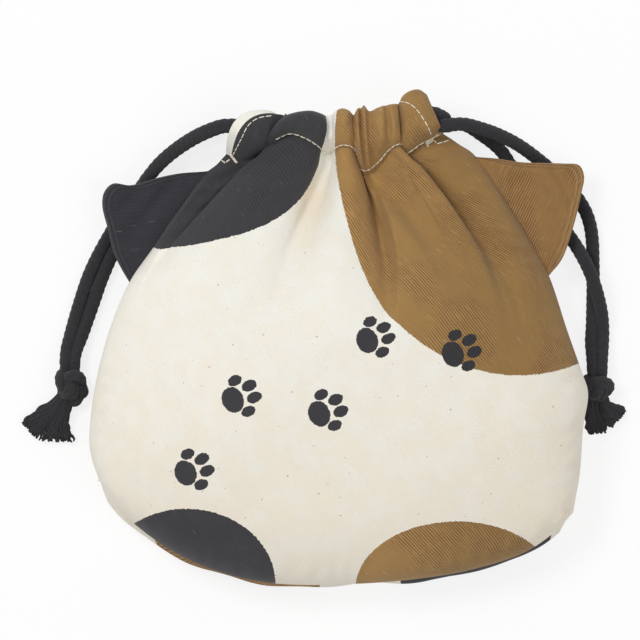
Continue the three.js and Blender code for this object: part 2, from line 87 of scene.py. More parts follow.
def lengths(points):
    """Distance along a line of points, from its first one."""
    steps = np.linalg.norm(np.diff(points, axis=0), axis=-1)
    return np.concatenate([[0], np.cumsum(steps)])


def at_lengths(wanted, along, points):
    """Places at the wanted distances on a line, whose own points lie at the distances along."""
    return np.stack([np.interp(wanted, along, column) for column in points.T], axis=-1)


def spaced(points, count):
    """The same line with points at even distances."""
    along = lengths(points)
    return at_lengths(np.linspace(0, along[-1], count), along, points)


def curve(points, count):
    """Evenly spaced points on a smooth line through the given ones."""
    p = np.asarray(points, float)
    p = np.vstack([2 * p[0] - p[1], p, 2 * p[-1] - p[-2]])
    steps = np.diff(p, axis=0)
    d = np.sqrt(np.linalg.norm(steps, axis=1))[:, None]
    slope = steps[:-1] / d[:-1] - (p[2:] - p[:-2]) / (d[:-1] + d[1:]) + steps[1:] / d[1:]
    t = np.linspace(0, 1, 24, endpoint=False)[:, None]
    rise = 3 * t**2 - 2 * t**3
    made = []
    for i in range(len(slope) - 1):
        bend = (t**3 - 2 * t**2 + t) * slope[i] + (t**3 - t**2) * slope[i + 1]
        made.append(mix(p[i + 1], p[i + 2], rise) + bend * d[i + 1])
    return spaced(np.vstack([*made, p[-2:-1]]), count)


def waves(x, y, size, seed, count=14):
    """Smooth seeded noise, mostly between -1 and 1, with bumps of about the given size."""
    rng = np.random.default_rng(seed)
    total = np.zeros(np.broadcast(x, y).shape)
    for _ in range(count):
        angle, phase = rng.uniform(0, 2 * np.pi, 2)
        pitch = size * rng.uniform(0.7, 1.7)
        total = total + np.sin(2 * np.pi * (x * np.cos(angle) + y * np.sin(angle)) / pitch + phase)
    return total / np.sqrt(count)


def from_mouth(x, y):
    """From the mouth's frame, x along it and y out of it, to the photograph's frame."""
    turned = [x * np.cos(TILT) - y * np.sin(TILT), x * np.sin(TILT) + y * np.cos(TILT)]
    return np.stack(turned, axis=-1) + MOUTH_AT


def grid_faces(rows, columns, start=0, wrap=False, flip=False):
    """Quads between neighbouring rows of points, all the way round when wrap is true."""
    last = columns if wrap else columns - 1
    j, i = np.meshgrid(np.arange(rows - 1), np.arange(last), indexing="ij")
    k = (i + 1) % columns
    here, above = start + j * columns, start + (j + 1) * columns
    quads = np.stack([here + i, here + k, above + k, above + i], -1).reshape(-1, 4)
    return quads[:, ::-1] if flip else quads


def raised(flat, z):
    """Places in plan together with their heights."""
    return np.concatenate([flat, z[..., None]], -1)


def put(name, data, at=(0, 0, 0)):
    """A new object in the scene."""
    made = bpy.data.objects.new(name, data)
    made.location = at
    bpy.context.scene.collection.objects.link(made)
    return made


def new_mesh(name, points, faces, material, attributes):
    """A smooth shaded mesh object from points in millimetres."""
    mesh = bpy.data.meshes.new(name)
    mesh.from_pydata(((points + SHIFT) * MM).tolist(), [], [list(map(int, f)) for f in faces])
    mesh.polygons.foreach_set("use_smooth", np.ones(len(mesh.polygons), bool))
    for key, values in attributes.items():
        made = mesh.attributes.new(key, "FLOAT_VECTOR", "POINT")
        made.data.foreach_set("vector", np.asarray(values, np.float32).ravel())
    mesh.validate()
    mesh.materials.append(material)
    return put(name, mesh)


def dress(obj, body, slot, *solids):
    """Says which body an object rides on and which solids it replaces. Its slot is not used."""
    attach(obj, body)
    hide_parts(*solids)
    return obj


class Pile:
    """Gathers many lengths of rope or thread into one object."""

    def __init__(self):
        self.points, self.faces, self.rows, self.count = [], [], [], 0

    def add(self, points, faces, rows):
        self.points.append(points)
        self.faces.extend((np.asarray(f) + self.count).tolist() for f in faces)
        self.rows.append(rows)
        self.count += len(points)

    def piece(self, solid, ending, body, material, slot):
        """The object, which is named after the solid that it replaces."""
        attributes = {"lay": np.vstack(self.rows)}
        obj = new_mesh(solid + ending, np.vstack(self.points), self.faces, material, attributes)
        return dress(obj, body, slot, solid)


# Camera


CAMERA_AT = (-7.5, 9.25)
SEAM_PLANE = 17.0
CAMERA_DISTANCE = 3000.0
VIEW_WIDTH = 256.0
SENSOR = 36.0


def add_camera():
    data = bpy.data.cameras.new("camera")
    data.sensor_width = SENSOR
    data.lens = SENSOR * CAMERA_DISTANCE / VIEW_WIDTH
    data.clip_start = 0.05
    data.clip_end = 20
    at = (CAMERA_AT[0] * MM, CAMERA_AT[1] * MM, (CAMERA_DISTANCE + SEAM_PLANE) * MM)
    bpy.context.scene.camera = put("camera", data, at)


add_camera()


# Materials


class Value:
    """An output of a node, to be added, subtracted and multiplied like a number."""

    def __init__(self, nodes, socket):
        self.nodes = nodes
        self.socket = socket

    def __add__(self, other):
        return self.nodes.math("ADD", self, other)

    def __sub__(self, other):
        return self.nodes.math("SUBTRACT", self, other)

    def __mul__(self, other):
        return self.nodes.math("MULTIPLY", self, other)


class Nodes:
    """A short way to write the node tree of a material or of the world."""

    def __init__(self, owner):
        self.owner = owner
        owner.use_nodes = True
        self.tree = owner.node_tree
        self.tree.nodes.clear()

    def add(self, kind, inputs, **settings):
        """A new node, its inputs given by name or, in a tuple, in their own order."""
        node = self.tree.nodes.new(kind)
        for key, value in settings.items():
            setattr(node, key, value)
        if isinstance(inputs, tuple):
            inputs = dict(enumerate(inputs))
        for key, value in inputs.items():
            if isinstance(value, Value):
                self.tree.links.new(value.socket, node.inputs[key])
            else:
                node.inputs[key].default_value = value
        return node

    def get(self, kind, inputs, output=0, **settings):
        """One output of a new node."""
        return Value(self, self.add(kind, inputs, **settings).outputs[output])

    def math(self, operation, *values, clamp=False):
        return self.get("ShaderNodeMath", values, operation=operation, use_clamp=clamp)

    def vector(self, operation, *values):
        output = "Value" if operation == "LENGTH" else "Vector"
        return self.get("ShaderNodeVectorMath", values, output, operation=operation)

    def choose(self, operation, values):
        """The smallest or the largest of many values."""
        return reduce(lambda a, b: self.math(operation, a, b), values)

    def attribute(self, name):
        return self.get("ShaderNodeAttribute", {}, "Vector", attribute_name=name)

    def parts(self, vector):
        """The x, y and z of a vector."""
        node = self.add("ShaderNodeSeparateXYZ", (vector,))
        return [Value(self, socket) for socket in node.outputs]

    def turned_parts(self, vector, degrees):
        """The x, y and z of a vector in a frame that is turned about its z axis."""
        inputs = {"Vector": vector, "Angle": -np.radians(degrees)}
        return self.parts(self.get("ShaderNodeVectorRotate", inputs, rotation_type="Z_AXIS"))

    def flat(self, x, y):
        return self.get("ShaderNodeCombineXYZ", (x, y))

    def wave(self, value, rate):
        """A sine wave between 0 and 1."""
        return self.math("SINE", value * rate) * 0.5 + 0.5

    def noise(self, where, scale, detail=2.0, roughness=0.5):
        inputs = {"Vector": where, "Scale": scale, "Detail": detail, "Roughness": roughness}
        return self.get("ShaderNodeTexNoise", inputs, "Fac")

    def ramp(self, value, low, high, to_low=0.0, to_high=1.0):
        inputs = (value, low, high, to_low, to_high)
        return self.get("ShaderNodeMapRange", inputs, interpolation_type="SMOOTHSTEP")

    def blend(self, amount, a, b, mode="MIX"):
        inputs = {0: amount, 6: a, 7: b}
        return self.get("ShaderNodeMix", inputs, 2, data_type="RGBA", blend_type=mode)

    def grey(self, tone):
        return self.get("ShaderNodeCombineColor", (tone, tone, tone))

    def shaded(self, colour, tint):
        return self.blend(1.0, colour, tint, "MULTIPLY")

    def finish(self, colour, height, distance, roughness=0.92, sheen=0.12):
        bump = self.get("ShaderNodeBump", {"Height": height, "Strength": 0.8, "Distance": distance})
        surface = {
            "Base Color": colour,
            "Roughness": roughness,
            "Specular IOR Level": 0.25,
            "Sheen Weight": sheen,
            "Sheen Roughness": 0.6,
            "Normal": bump,
        }
        shader = self.get("ShaderNodeBsdfPrincipled", surface)
        self.add("ShaderNodeOutputMaterial", {"Surface": shader})
        return self.owner


def rgb(r, g, b):
    return (r, g, b, 1.0)


NATURAL = rgb(0.86, 0.825, 0.725)
NATURAL_PALE = rgb(0.885, 0.87, 0.80)
# The darker, warmer colour that painted shade gives the natural cloth
NATURAL_PAINTED_SHADE = rgb(0.80, 0.70, 0.555)
FLECK = rgb(0.30, 0.235, 0.15)
BROWN = rgb(0.203, 0.097, 0.032)
BROWN_LIGHT = rgb(0.474, 0.285, 0.100)
BROWN_SMOOTH = rgb(0.345, 0.202, 0.065)
BROWN_BARE = rgb(0.62, 0.46, 0.28)
BLACK = rgb(0.025, 0.025, 0.029)
BLACK_LIGHT = rgb(0.050, 0.047, 0.052)
BLACK_BARE = rgb(0.42, 0.38, 0.32)
THREAD = rgb(0.88, 0.82, 0.68)
ROPE = rgb(0.018, 0.018, 0.021)
ROPE_LIGHT = rgb(0.046, 0.046, 0.052)
WHITE = rgb(1, 1, 1)


class Twill(Nodes):
    """Diagonal ribs of twisted yarn, drawn over a position on the flat cloth in millimetres."""

    def __init__(self, name, rib_angle, pitch=1.04, tint=WHITE):
        super().__init__(bpy.data.materials.new(name))
        self.at = self.attribute("weave")
        along, across, _ = self.turned_parts(self.at, rib_angle)
        across = across + self.noise(self.at, 0.12, 1.0) * 0.5
        self.rib = self.wave(across, 2 * np.pi / pitch)
        self.yarn = self.wave(along + across, 2 * np.pi / 0.75)
        self.streak = self.noise(self.flat(along * 0.16, across * 1.3), 1.0, 2.0, 0.6)
        self.mottle = self.noise(self.at, 0.09, 3.0, 0.55)
        self.fuzz = self.noise(self.at, 2.6, 2.0, 0.6)
        # How clearly the ribs show, from place to place
        self.clear = self.ramp(self.noise(self.at, 0.032, 1.0), 0.43, 0.55)
        self.tint = tint

    def height(self, relief):
        ribs = self.rib * (self.yarn * 0.35 + 0.65) * (self.clear * 0.6 + 0.4)
        return (self.fuzz * 0.3 + ribs) * relief

    def natural(self, painted_shade_amount):
        # The ribs' part of this tone is painted shade between the ribs; the streaks and mottle are the
        # yarn's own tone
        tone = (self.rib * 0.035 + 0.965) * (self.streak * 0.07 + 0.965) * (self.mottle * 0.1 + 0.95)
        ground = self.blend(self.ramp(self.mottle, 0.62, 0.35), NATURAL, NATURAL_PALE)
        # Painted shade: the ground is blended towards a darker, warmer colour by the given amount
        ground = self.shaded(self.blend(painted_shade_amount, ground, NATURAL_PAINTED_SHADE), self.grey(tone))
        seeds = self.get("ShaderNodeTexVoronoi", {"Vector": self.at, "Scale": 0.2}, "Distance")
        speck = self.math("LESS_THAN", seeds, self.noise(self.at, 0.3, 0.0) * 0.11)
        dust = self.ramp(self.noise(self.at, 1.1, 1.0), 0.70, 0.80)
        return self.blend(self.math("MAXIMUM", speck * 0.55, dust * 0.35), ground, FLECK)

    def printed(self, dark, light, contrast):
        """Ink that sits on the ribs and lets the yarn's own colour through between them."""
        shown = self.clear * (0.75 * contrast) + 0.25 * contrast
        tone = (self.rib - 0.5) * shown + 0.5
        tone = tone + (self.streak * 0.7 - 0.35)
        return self.blend(self.math("ADD", tone, self.mottle * 0.5 - 0.25, clamp=True), dark, light)

    def brown(self):
        ink = self.printed(BROWN, BROWN_LIGHT, 0.85)
        ink = self.blend(self.clear * -0.6 + 0.6, ink, BROWN_SMOOTH)
        bare = self.ramp(self.streak, 0.60, 0.74) * self.ramp(self.rib, 0.35, 0.0)
        return self.shaded(self.blend(bare * 0.45, ink, BROWN_BARE), self.tint)

    def black(self):
        ink = self.shaded(self.printed(BLACK, BLACK_LIGHT, 0.55), self.tint)
        bare = self.ramp(self.streak, 0.66, 0.80) * self.ramp(self.rib, 0.4, 0.0)
        return self.blend(bare * 0.4, ink, BLACK_BARE)


# The turned seam makes ridges along an ear's edge: how far in each is, and its height
EDGE_RIDGES = [(1.1, 0.34), (2.1, -0.34), (3.1, 0.34), (4.5, -0.4)]
TWILL_BUMP = 0.00022


def ear_twill(name, rib_angle, ink, relief, tint, light):
    cloth = Twill(name, rib_angle, 0.96, tint)
    edge = cloth.parts(cloth.attribute("edge"))[0]
    away = [cloth.math("ABSOLUTE", edge - at) for at, high in EDGE_RIDGES if high > 0]
    # Lighter on the crests of the edge's ridges: partly rubbed wear, partly painted highlight
    wear_and_highlight = cloth.ramp(cloth.choose("MINIMUM", away), 0.75, 0.1, 0.0, 0.28)
    return cloth.finish(cloth.blend(wear_and_highlight, ink(cloth), light), cloth.height(relief), TWILL_BUMP)


def ellipses(nodes, at, shapes):
    """Below 1 inside any of some ellipses, each a centre and its radii, and above 1 outside."""
    found = []
    for centre, radii in shapes:
        moved = nodes.vector("SUBTRACT", at, (*centre, 0))
        found.append(nodes.vector("LENGTH", nodes.vector("DIVIDE", moved, (*radii, 1))))
    return nodes.choose("MINIMUM", found)


# The pad and the four toes of a paw, each as the centre and the radii of an ellipse
PAW = [
    ((0, -2.6), (5.2, 4.3)),
    ((-6.6, 1.2), (2.1, 2.9)),
    ((-2.5, 5.6), (2.2, 3.1)),
    ((2.6, 5.6), (2.2, 3.1)),
    ((6.7, 1.2), (2.1, 2.9)),
]
TRAIL = {"start": (-62, -44), "angle": 24, "pitch": 29, "aside": 9.5, "steps": 5}
BLACK_SPOTS = [((-60, 84), (50, 50)), ((-60, -98), (35, 30))]
BROWN_SPOTS = [((72, 80), (77.5, 95)), ((47, -100), (40, 27))]
# Painted shade in the fold beside the black patch, where the natural cloth is drawn darkest and warmest
PAINTED_FOLD_SHADE = [((-15, 54), (11, 26))]


def paw_trail(nodes, at):
    """A walk of paw prints, one to each side in turn."""
    at = nodes.vector("SUBTRACT", at, (*TRAIL["start"], 0))
    along, across, _ = nodes.turned_parts(at, TRAIL["angle"])
    step = nodes.math("ROUND", nodes.math("DIVIDE", along, TRAIL["pitch"]))
    side = nodes.math("FLOORED_MODULO", step, 2.0) * 2.0 - 1.0
    # A paw points along the trail, so its own up is the way along it
    local = nodes.flat((across - side * TRAIL["aside"]) * -1.0, along - step * TRAIL["pitch"])
    before = nodes.math("LESS_THAN", step, -0.5)
    after = nodes.math("GREATER_THAN", step, TRAIL["steps"] - 0.5)
    return ellipses(nodes, local, PAW) + (before + after) * 9.0


def printed_twill():
    """The panels' cloth: natural twill with spots and paw prints, bare on its inner side."""
    cloth = Twill("printed_twill", -52)
    place = cloth.attribute("place")
    x, y, bare = cloth.parts(place)
    # Painted shade: the natural cloth is drawn darker and warmer towards the bottom and the right, and
    # in the fold beside the black patch
    painted_shade = cloth.ramp(y, 25.0, -85.0, 0.0, 0.46) + cloth.ramp(x, 30.0, 95.0, 0.0, 0.15)
    painted_shade = painted_shade + cloth.ramp(ellipses(cloth, cloth.flat(x, y), PAINTED_FOLD_SHADE), 1.0, 0.1, 0.0, 0.8)
    # The ribs are rubbed flat on the hems at both ends of the casing
    right_hem = cloth.ramp(y * 0.5 + x, 76.4, 77.4) * cloth.ramp(y, 76.5, 77.3)
    left_hem = cloth.ramp(x, -38.0, -38.8) * cloth.ramp(y, 71.4, 72.2)
    cloth.clear = cloth.clear * (cloth.math("MAXIMUM", left_hem, right_hem) * -0.85 + 1.0)
    # Painted light and shade: the brown and black prints are drawn brighter on the left and darker
    # towards the right
    cloth.tint = cloth.grey(cloth.ramp(x, -4.0, 60.0, 1.12, 0.84))
    # The painted shade is broken up a little by the cloth's mottle
    painted_shade_amount = cloth.math("MULTIPLY", painted_shade, cloth.mottle + 0.5, clamp=True)
    # The prints' edges are a little ragged
    ragged = cloth.get("ShaderNodeTexNoise", {"Vector": cloth.at, "Scale": 0.9, "Detail": 2.0}, "Color")
    nudge = cloth.vector("SUBTRACT", ragged, (0.5, 0.5, 0.5))
    nudged = cloth.vector("ADD", place, cloth.vector("MULTIPLY", nudge, (0.9, 0.9, 0.9)))
    flat = cloth.flat(*cloth.parts(nudged)[:2])
    # Bare is 1 where nothing is printed and 0.5 where there are paw prints alone
    patches, prints = cloth.ramp(bare, 0.3, 0.2), cloth.ramp(bare, 0.8, 0.7)
    brown = cloth.ramp(ellipses(cloth, flat, BROWN_SPOTS), 1.002, 0.998) * patches
    black = cloth.ramp(ellipses(cloth, flat, BLACK_SPOTS), 1.002, 0.998) * patches
    paws = cloth.ramp(paw_trail(cloth, flat), 1.03, 0.97) * prints
    colour = cloth.blend(brown, cloth.natural(painted_shade_amount), cloth.brown())
    colour = cloth.blend(cloth.math("MAXIMUM", black, paws), colour, cloth.black())
    return cloth.finish(colour, cloth.height(brown * 0.65 + 0.35), TWILL_BUMP)


def rope_material():
    """Cotton yarns laid round the cord, from turns round it and millimetres along it."""
    cotton = Nodes(bpy.data.materials.new("cord_cotton"))
    turns, along, _ = cotton.parts(cotton.attribute("lay"))
    twist = along * 0.16 + turns
    yarn = cotton.wave(twist, 2 * np.pi * 13)
    hair = cotton.noise(cotton.flat(twist * 30.0, along * 0.5), 1.0, 3.0, 0.65)
    tone = yarn * 0.35 + hair * 0.65
    colour = cotton.blend(cotton.ramp(tone, 0.25, 0.85), ROPE, ROPE_LIGHT)
    return cotton.finish(colour, tone, 0.0004, 0.95, 0.10)


def thread_material():
    thread = Nodes(bpy.data.materials.new("cream_thread"))
    at = thread.attribute("lay")
    turns, along, _ = thread.parts(at)
    ply = thread.wave(along * 1.6 + turns, 4 * np.pi)
    tone = ply * 0.18 + (thread.noise(at, 1.7, 2.0) * 0.2 + 0.78)
    return thread.finish(thread.shaded(THREAD, thread.grey(tone)), ply, 0.00008, 0.7, 0.1)


def overlock_material():
    """Thread that loops over a raw edge, as fine ridges across the edge."""
    thread = Nodes(bpy.data.materials.new("overlock_thread"))
    at = thread.get("ShaderNodeTexCoord", {}, "Object")
    lines = {"Vector": at, "Scale": 420.0, "Distortion": 0.6, "Detail": 1.0}
    bands = {"wave_type": "BANDS", "bands_direction": "DIAGONAL"}
    loops = thread.get("ShaderNodeTexWave", lines, "Fac", **bands)
    shade = thread.shaded(THREAD, thread.grey(loops * 0.25 + 0.75))
    return thread.finish(shade, loops, 0.0003, 0.75, 0.1)


PRINTED = printed_twill()
BLACK_CLOTH = ear_twill(
    "black_twill", 4, Twill.black, 0.5, rgb(0.84, 0.84, 0.93), rgb(0.075, 0.075, 0.08)
)
BROWN_CLOTH = ear_twill(
    "brown_twill", 64, Twill.brown, 1.2, rgb(0.83, 0.79, 0.84), rgb(0.50, 0.33, 0.17)
)
# The material and the slot of each piece of rope and of thread
BLACK_CORD = (rope_material(), "black_cord")
CREAM_THREAD = (thread_material(), "cream_thread")
OVERLOCK = overlock_material()


# Cords


# Each free cord's route to its knot as x, y and its height over the table
CORD_ROUTES = {
    "left_cord_back": [
        [-53.6, 81.9, 2.4], [-59.4, 78.9, 1.6], [-66, 74.5, 0.6], [-71.6, 69.7, 0.1], [-76.2, 64.5, 0],
        [-80.2, 59.4, 0], [-84.4, 54, 0], [-88.2, 48.2, 0], [-91.9, 41.8, 0], [-95.2, 36, 0],
        [-98.1, 30.4, 0], [-100.9, 24, 0], [-103.4, 16.6, 0], [-105.8, 9, 0], [-108.2, 0.6, 0.6],
        [-109.8, -5, 1.8],
    ],
    "left_cord_front": [
        [-53.4, 82.1, 18.6], [-59, 79.3, 15], [-65.6, 74.9, 10.6], [-71.4, 69.9, 7.8],
        [-75.8, 64.5, 6.4], [-78.6, 58.6, 5.8], [-80.4, 52.4, 4.8], [-83, 46, 2.4], [-86.4, 39.6, 0.6],
        [-90, 33.6, 0], [-92.6, 28, 0], [-95, 22, 0], [-97.4, 15, 0], [-99.9, 7.6, 0],
        [-102.4, 0.2, 0.6], [-104.2, -5.2, 1.8],
    ],
    "right_cord_front": [
        [50, 85.2, 20], [57.2, 83.6, 15.8], [64.8, 81, 9.6], [72.8, 77, 4], [80.4, 71.6, 0.8],
        [87, 65.6, 0], [92.2, 60.4, 0], [96.2, 55.4, 0], [99.2, 50.2, 0], [101, 44.4, 0],
        [101.8, 38, 0], [102, 31, 0], [102.1, 24, 0], [102, 15, 0], [101.7, 5, 0], [101.2, -2, 0.6],
        [101.3, -7, 1.8],
    ],
    "right_cord_back": [
        [50.4, 85.5, 2.2], [57.7, 81.4, 1], [65.3, 75.3, 0.2], [70, 68.4, 0], [76.4, 61.8, 0],
        [82.6, 54.8, 0.2], [88.4, 47.4, 1.6], [93, 41.2, 4.6], [96.8, 35.4, 6.8], [100, 29.6, 7.4],
        [102.6, 23.6, 6.8], [104.8, 16.6, 4.9], [106.4, 9.4, 2.2], [107, 3, 0.2], [107, -2, 0.6],
        [106.9, -7, 1.8],
    ],
}
KNOTS = {
    "left": {
        "at": (-107.6, -18.4),
        "size": (12.8, 15.4, 11),
        "tight": (0.66, 0.86, 0.86),
        "bulges": [
            [
                (-106, -17, 5), (-103.6, -19.4, 4.2), (-102.5, -21.8, 3.8),
                (-104.6, -22.8, 4), (-107, -21.6, 5),
            ],
            [(-104.6, -19.6, 5.4), (-104.2, -22.6, 5), (-105.2, -25.2, 4.2), (-108.2, -25.4, 4.2)],
        ],
    },
    "right": {
        "at": (104.1, -19.8),
        "size": (12.8, 12.6, 11),
        "tight": (0.8, 0.86, 0.86),
        "bulges": [],
    },
}
CORD_STEP = 2.75
CORD_GAP = 0.3
# How much the knot draws the two cords together, and how much it squeezes each
KNOT_DRAWS = 0.85
KNOT_SQUEEZES = 0.14
KNOT_STRAND = 2.35
RING_STEP = 0.55
# How far the gathers bow each cord inside its casing, and press it down
RUNS = {"left": (2.8, 0.0), "right": (0.2, 1.0)}
RUN_END = 3
# How far each cord's turn sits inside the end of the mouth, and how far it leans down
TURNS = {"left": (1.4, 2.6), "right": (6.5, 0.0)}


def frames(path):
    """Two directions across a path at each of its points, without any twist between them."""
    forward = unit(np.gradient(path, axis=0))
    side = np.cross(forward[0], (0, 0, 1.0))
    if np.linalg.norm(side) < 1e-3:
        side = np.array([1.0, 0, 0])
    sides = []
    for direction in forward:
        side = side - direction * side.dot(direction)
        side = side / np.linalg.norm(side)
        sides.append(side)
    sides = np.array(sides)
    return sides, np.cross(sides, forward)


def lobes(angle):
    """The outline of three soft strands twisted together, as a share of the cord's radius."""
    return 0.93 + 0.13 * np.abs(np.cos(1.5 * angle)) ** 0.75


def rope_rings(path, radius, sides=24, lay_start=0.0, shape=lobes, pitch=ROPE_PITCH):
    """Rings round a path, with their places round and along the cord."""
    a, b = frames(path)
    along = lengths(path)[:, None] + lay_start
    angle = np.linspace(0, 2 * np.pi, sides, endpoint=False)
    turned = angle - 2 * np.pi * along / pitch
    reach = np.broadcast_to(np.atleast_1d(radius), (len(path),))[:, None] * shape(turned)
    sideways, upward = (reach * np.cos(angle))[..., None], (reach * np.sin(angle))[..., None]
    rings = path[:, None] + a[:, None] * sideways + b[:, None] * upward
    rings[..., 2] = np.maximum(rings[..., 2], 0.02)
    return rings, np.stack(np.broadcast_arrays(angle / (2 * np.pi), along, 0 * reach), -1)


def closed_tube(rings, lay):
    """Points, faces and attribute rows of rings with both ends closed."""
    rows, sides = rings.shape[:2]
    points = np.vstack([rings.reshape(-1, 3), rings[:1].mean(1), rings[-1:].mean(1)])
    faces = grid_faces(rows, sides, wrap=True, flip=True).tolist()
    first, last, tail = len(points) - 2, len(points) - 1, (rows - 1) * sides
    for n in range(sides):
        m = (n + 1) % sides
        faces.append([n, m, first])
        faces.append([tail + m, tail + n, last])
    return points, faces, np.vstack([lay.reshape(-1, 3), lay[:1, 0], lay[-1:, 0]])


def rope(path, *shape):
    """A closed length of rope along a path, shaped as rope_rings has it."""
    return closed_tube(*rope_rings(path, *shape))


def yarn_section(angle):
    """Two plies twisted together."""
    return 0.82 + 0.25 * np.abs(np.cos(angle))


def casing_end(side, line, z, beyond):
    """A place on a cord's line past the end of the mouth, or before it if beyond is negative."""
    return [*from_mouth(side * (MOUTH_WIDTH / 2 + beyond), line), z]


def at_knot(cord, lane, beyond):
    """Where one strand of a cord goes into its knot, or a little before that."""
    (x, y), (_, long, through) = KNOTS[cord]["at"], KNOTS[cord]["size"]
    x = x + lane * CORD_STEP - lane * KNOT_DRAWS
    return [x, y + (long / 2 + CORD_GAP + beyond), through / 2]


def in_knot(cord, lane):
    """Where one strand of a cord ends inside its knot."""
    (x, y), (_, long, through) = KNOTS[cord]["at"], KNOTS[cord]["size"]
    return [x + lane * 1.4, y - long * 0.2, through / 2]


def free_path(name):
    """The centreline of a free cord, from the end of its casing to its knot."""
    cord, _, layer = name.split("_")
    route = [[x, y, lift + CORD / 2] for x, y, lift in CORD_ROUTES[name]]
    lane = np.sign(route[-1][0] - KNOTS[cord]["at"][0])
    # The two strands lie a little closer together than their routes, most of all at the knot
    for n, place in enumerate(route):
        place[0] -= lane * np.interp(n, [4, 5, len(route) - 4, len(route) - 1], [0, 0.5, 0.5, 0.75])
    exit_line = (SIDE[cord], CORD_LINE[cord], CASING_Z[layer])
    starts = [casing_end(*exit_line, beyond) for beyond in (CORD_GAP, CORD / 2)]
    return curve(starts + route + [at_knot(cord, lane, beyond) for beyond in (1, 0)], 300)


def run_path(name):
    """The cord inside its casing up to where it comes free, bowed a little by the gathers."""
    cord, _, layer = name.split("_")
    (bow, press), side, z = RUNS[cord], SIDE[cord], CASING_Z[layer]
    t = np.linspace(0, 1, 150)
    start = MOUTH_WIDTH / 2 - TURNS[cord][0] - RUN_END
    x = mix(-side * start, side * (MOUTH_WIDTH / 2 + CORD_GAP), t)
    # The far half stays bowed, so that it is still inside its casing when the cord is pulled
    arch = np.where(t > 0.5, np.sin(np.pi * t) ** 1.5, 1 - 0.3 * (1 - 2 * t) ** 2)
    level = z + np.sign(MOUTH_Z - z) * press * arch
    return np.column_stack([from_mouth(x, CORD_LINE[cord] - bow * arch), level])


def make_cord(name):
    """Cuts a free cord and its run in the casing from one rope. Gives the first and its path."""
    free, body = free_path(name), name.split("_")[0] + "_cord"
    whole = np.vstack([run_path(name)[:-1], free])
    even = spaced(whole, int(lengths(whole)[-1] / RING_STEP))
    cut = int(np.argmin(np.linalg.norm(even - free[0], axis=1)))
    left = lengths(even)[-1] - lengths(even)
    rings, lay = rope_rings(even, CORD / 2 * (1 - KNOT_SQUEEZES * smoothstep(14, 0, left)))
    made = []
    for piece, part in ((name, slice(cut, None)), (name + "_run", slice(0, cut + 1))):
        pile = Pile()
        pile.add(*closed_tube(rings[part], lay[part]))
        made.append(pile.piece(piece, "_rope", body, *BLACK_CORD))
    return made[0], even[cut:]


def cord_turn(cord):
    """A cord's turn at the far end of the mouth, from the front casing round to the back one."""
    drawn_in, lower = TURNS[cord]
    side, line = -SIDE[cord], CORD_LINE[cord]
    places = []
    for level, way, order in ((CASING_Z["front"], -1, 1), (CASING_Z["back"], 1, -1)):
        bend = [casing_end(side, line, level, -drawn_in - d) for d in (9, 6)]
        for angle in np.radians([22.5, 45, 67.5, 90]):
            beyond = 7 * np.sin(angle) - drawn_in - 3.4
            lift = way * 5 * (1 - np.cos(angle))
            bend.append(casing_end(side, line - lower * np.sin(angle) ** 2, level + lift, beyond))
        places += bend[::order]
    pile = Pile()
    pile.add(*rope(curve(places, 70), CORD / 2))
    pile.piece(f"{cord}_cord_turn", "_rope", "pouch", *BLACK_CORD)


def knot(cord):
    """A tight overhand knot of both strands: two ropes that lie side by side on a trefoil."""
    facts = KNOTS[cord]
    size = np.array(facts["size"])
    t = np.linspace(0, 2 * np.pi, 240)
    loops = [np.sin(t) + 2 * np.sin(2 * t), np.cos(t) - 2 * np.cos(2 * t), -np.sin(3 * t)]
    trefoil = np.column_stack(loops)
    trefoil = trefoil / np.abs(trefoil).max(0) * (size / 2 - KNOT_STRAND)
    trefoil = trefoil @ np.array([[0.966, 0.259, 0], [-0.259, 0.966, 0], [0, 0, 1]]).T
    pile = Pile()
    a, _ = frames(trefoil)
    for offset in (-1, 1):
        path = trefoil * facts["tight"] + a * offset * 1.3 + np.array([*facts["at"], size[2] / 2])
        pile.add(*rope(path, KNOT_STRAND))
    for lane in (-1, 1):
        end, inside = np.array(at_knot(cord, lane, 0.6)), np.array(in_knot(cord, lane))
        line = curve([end, mix(end, inside, 0.5), inside], 24)
        pile.add(*rope(line, CORD / 2 * (1 - KNOT_SQUEEZES)))
    for bulge in facts["bulges"]:
        pile.add(*rope(curve(bulge, 40), KNOT_STRAND))
    return pile.piece(f"{cord}_cord_knot", "_rope", f"{cord}_cord", *BLACK_CORD)


# Each frayed end's route as x, y, its height over the table and its width
TAIL_ROUTES = {
    "left_cord_tail_outer": [
        [-112.6, -27.4, 1.8, 7], [-116, -30.4, 1, 9.2], [-119.4, -33.4, 0, 9.6],
        [-122.2, -36.2, 0, 10.6], [-124.2, -38.2, 0, 10.8],
    ],
    "left_cord_tail_inner": [
        [-109.8, -27.8, 1.8, 6.4], [-111.6, -31.4, 1, 8.2], [-112.4, -35.2, 0, 9.2],
        [-112.6, -38.6, 0, 12], [-112.8, -42.2, 0, 15.4],
    ],
    "right_cord_tail_outer": [
        [107.2, -28, 1.8, 6.2], [108.6, -29.4, 1.4, 8], [110.2, -30.8, 0.6, 9.8],
        [111.8, -32.2, 0, 11.2], [113.2, -33.4, 0, 10.4],
    ],
    "right_cord_tail_inner": [
        [102, -29.2, 1.8, 6.2], [102.6, -31.6, 1, 7.6], [103.2, -34.4, 0, 9.2], [103.8, -37.2, 0, 9.8],
        [104, -39, 0, 9],
    ],
}
TAIL_THICKNESS = 5.0
# How many yarns each frayed end has, and their thickness
YARNS = {"left": (84, 1.3), "right": (38, 1.5)}
YARN_POINTS = 22
TAIL_SEED = 40


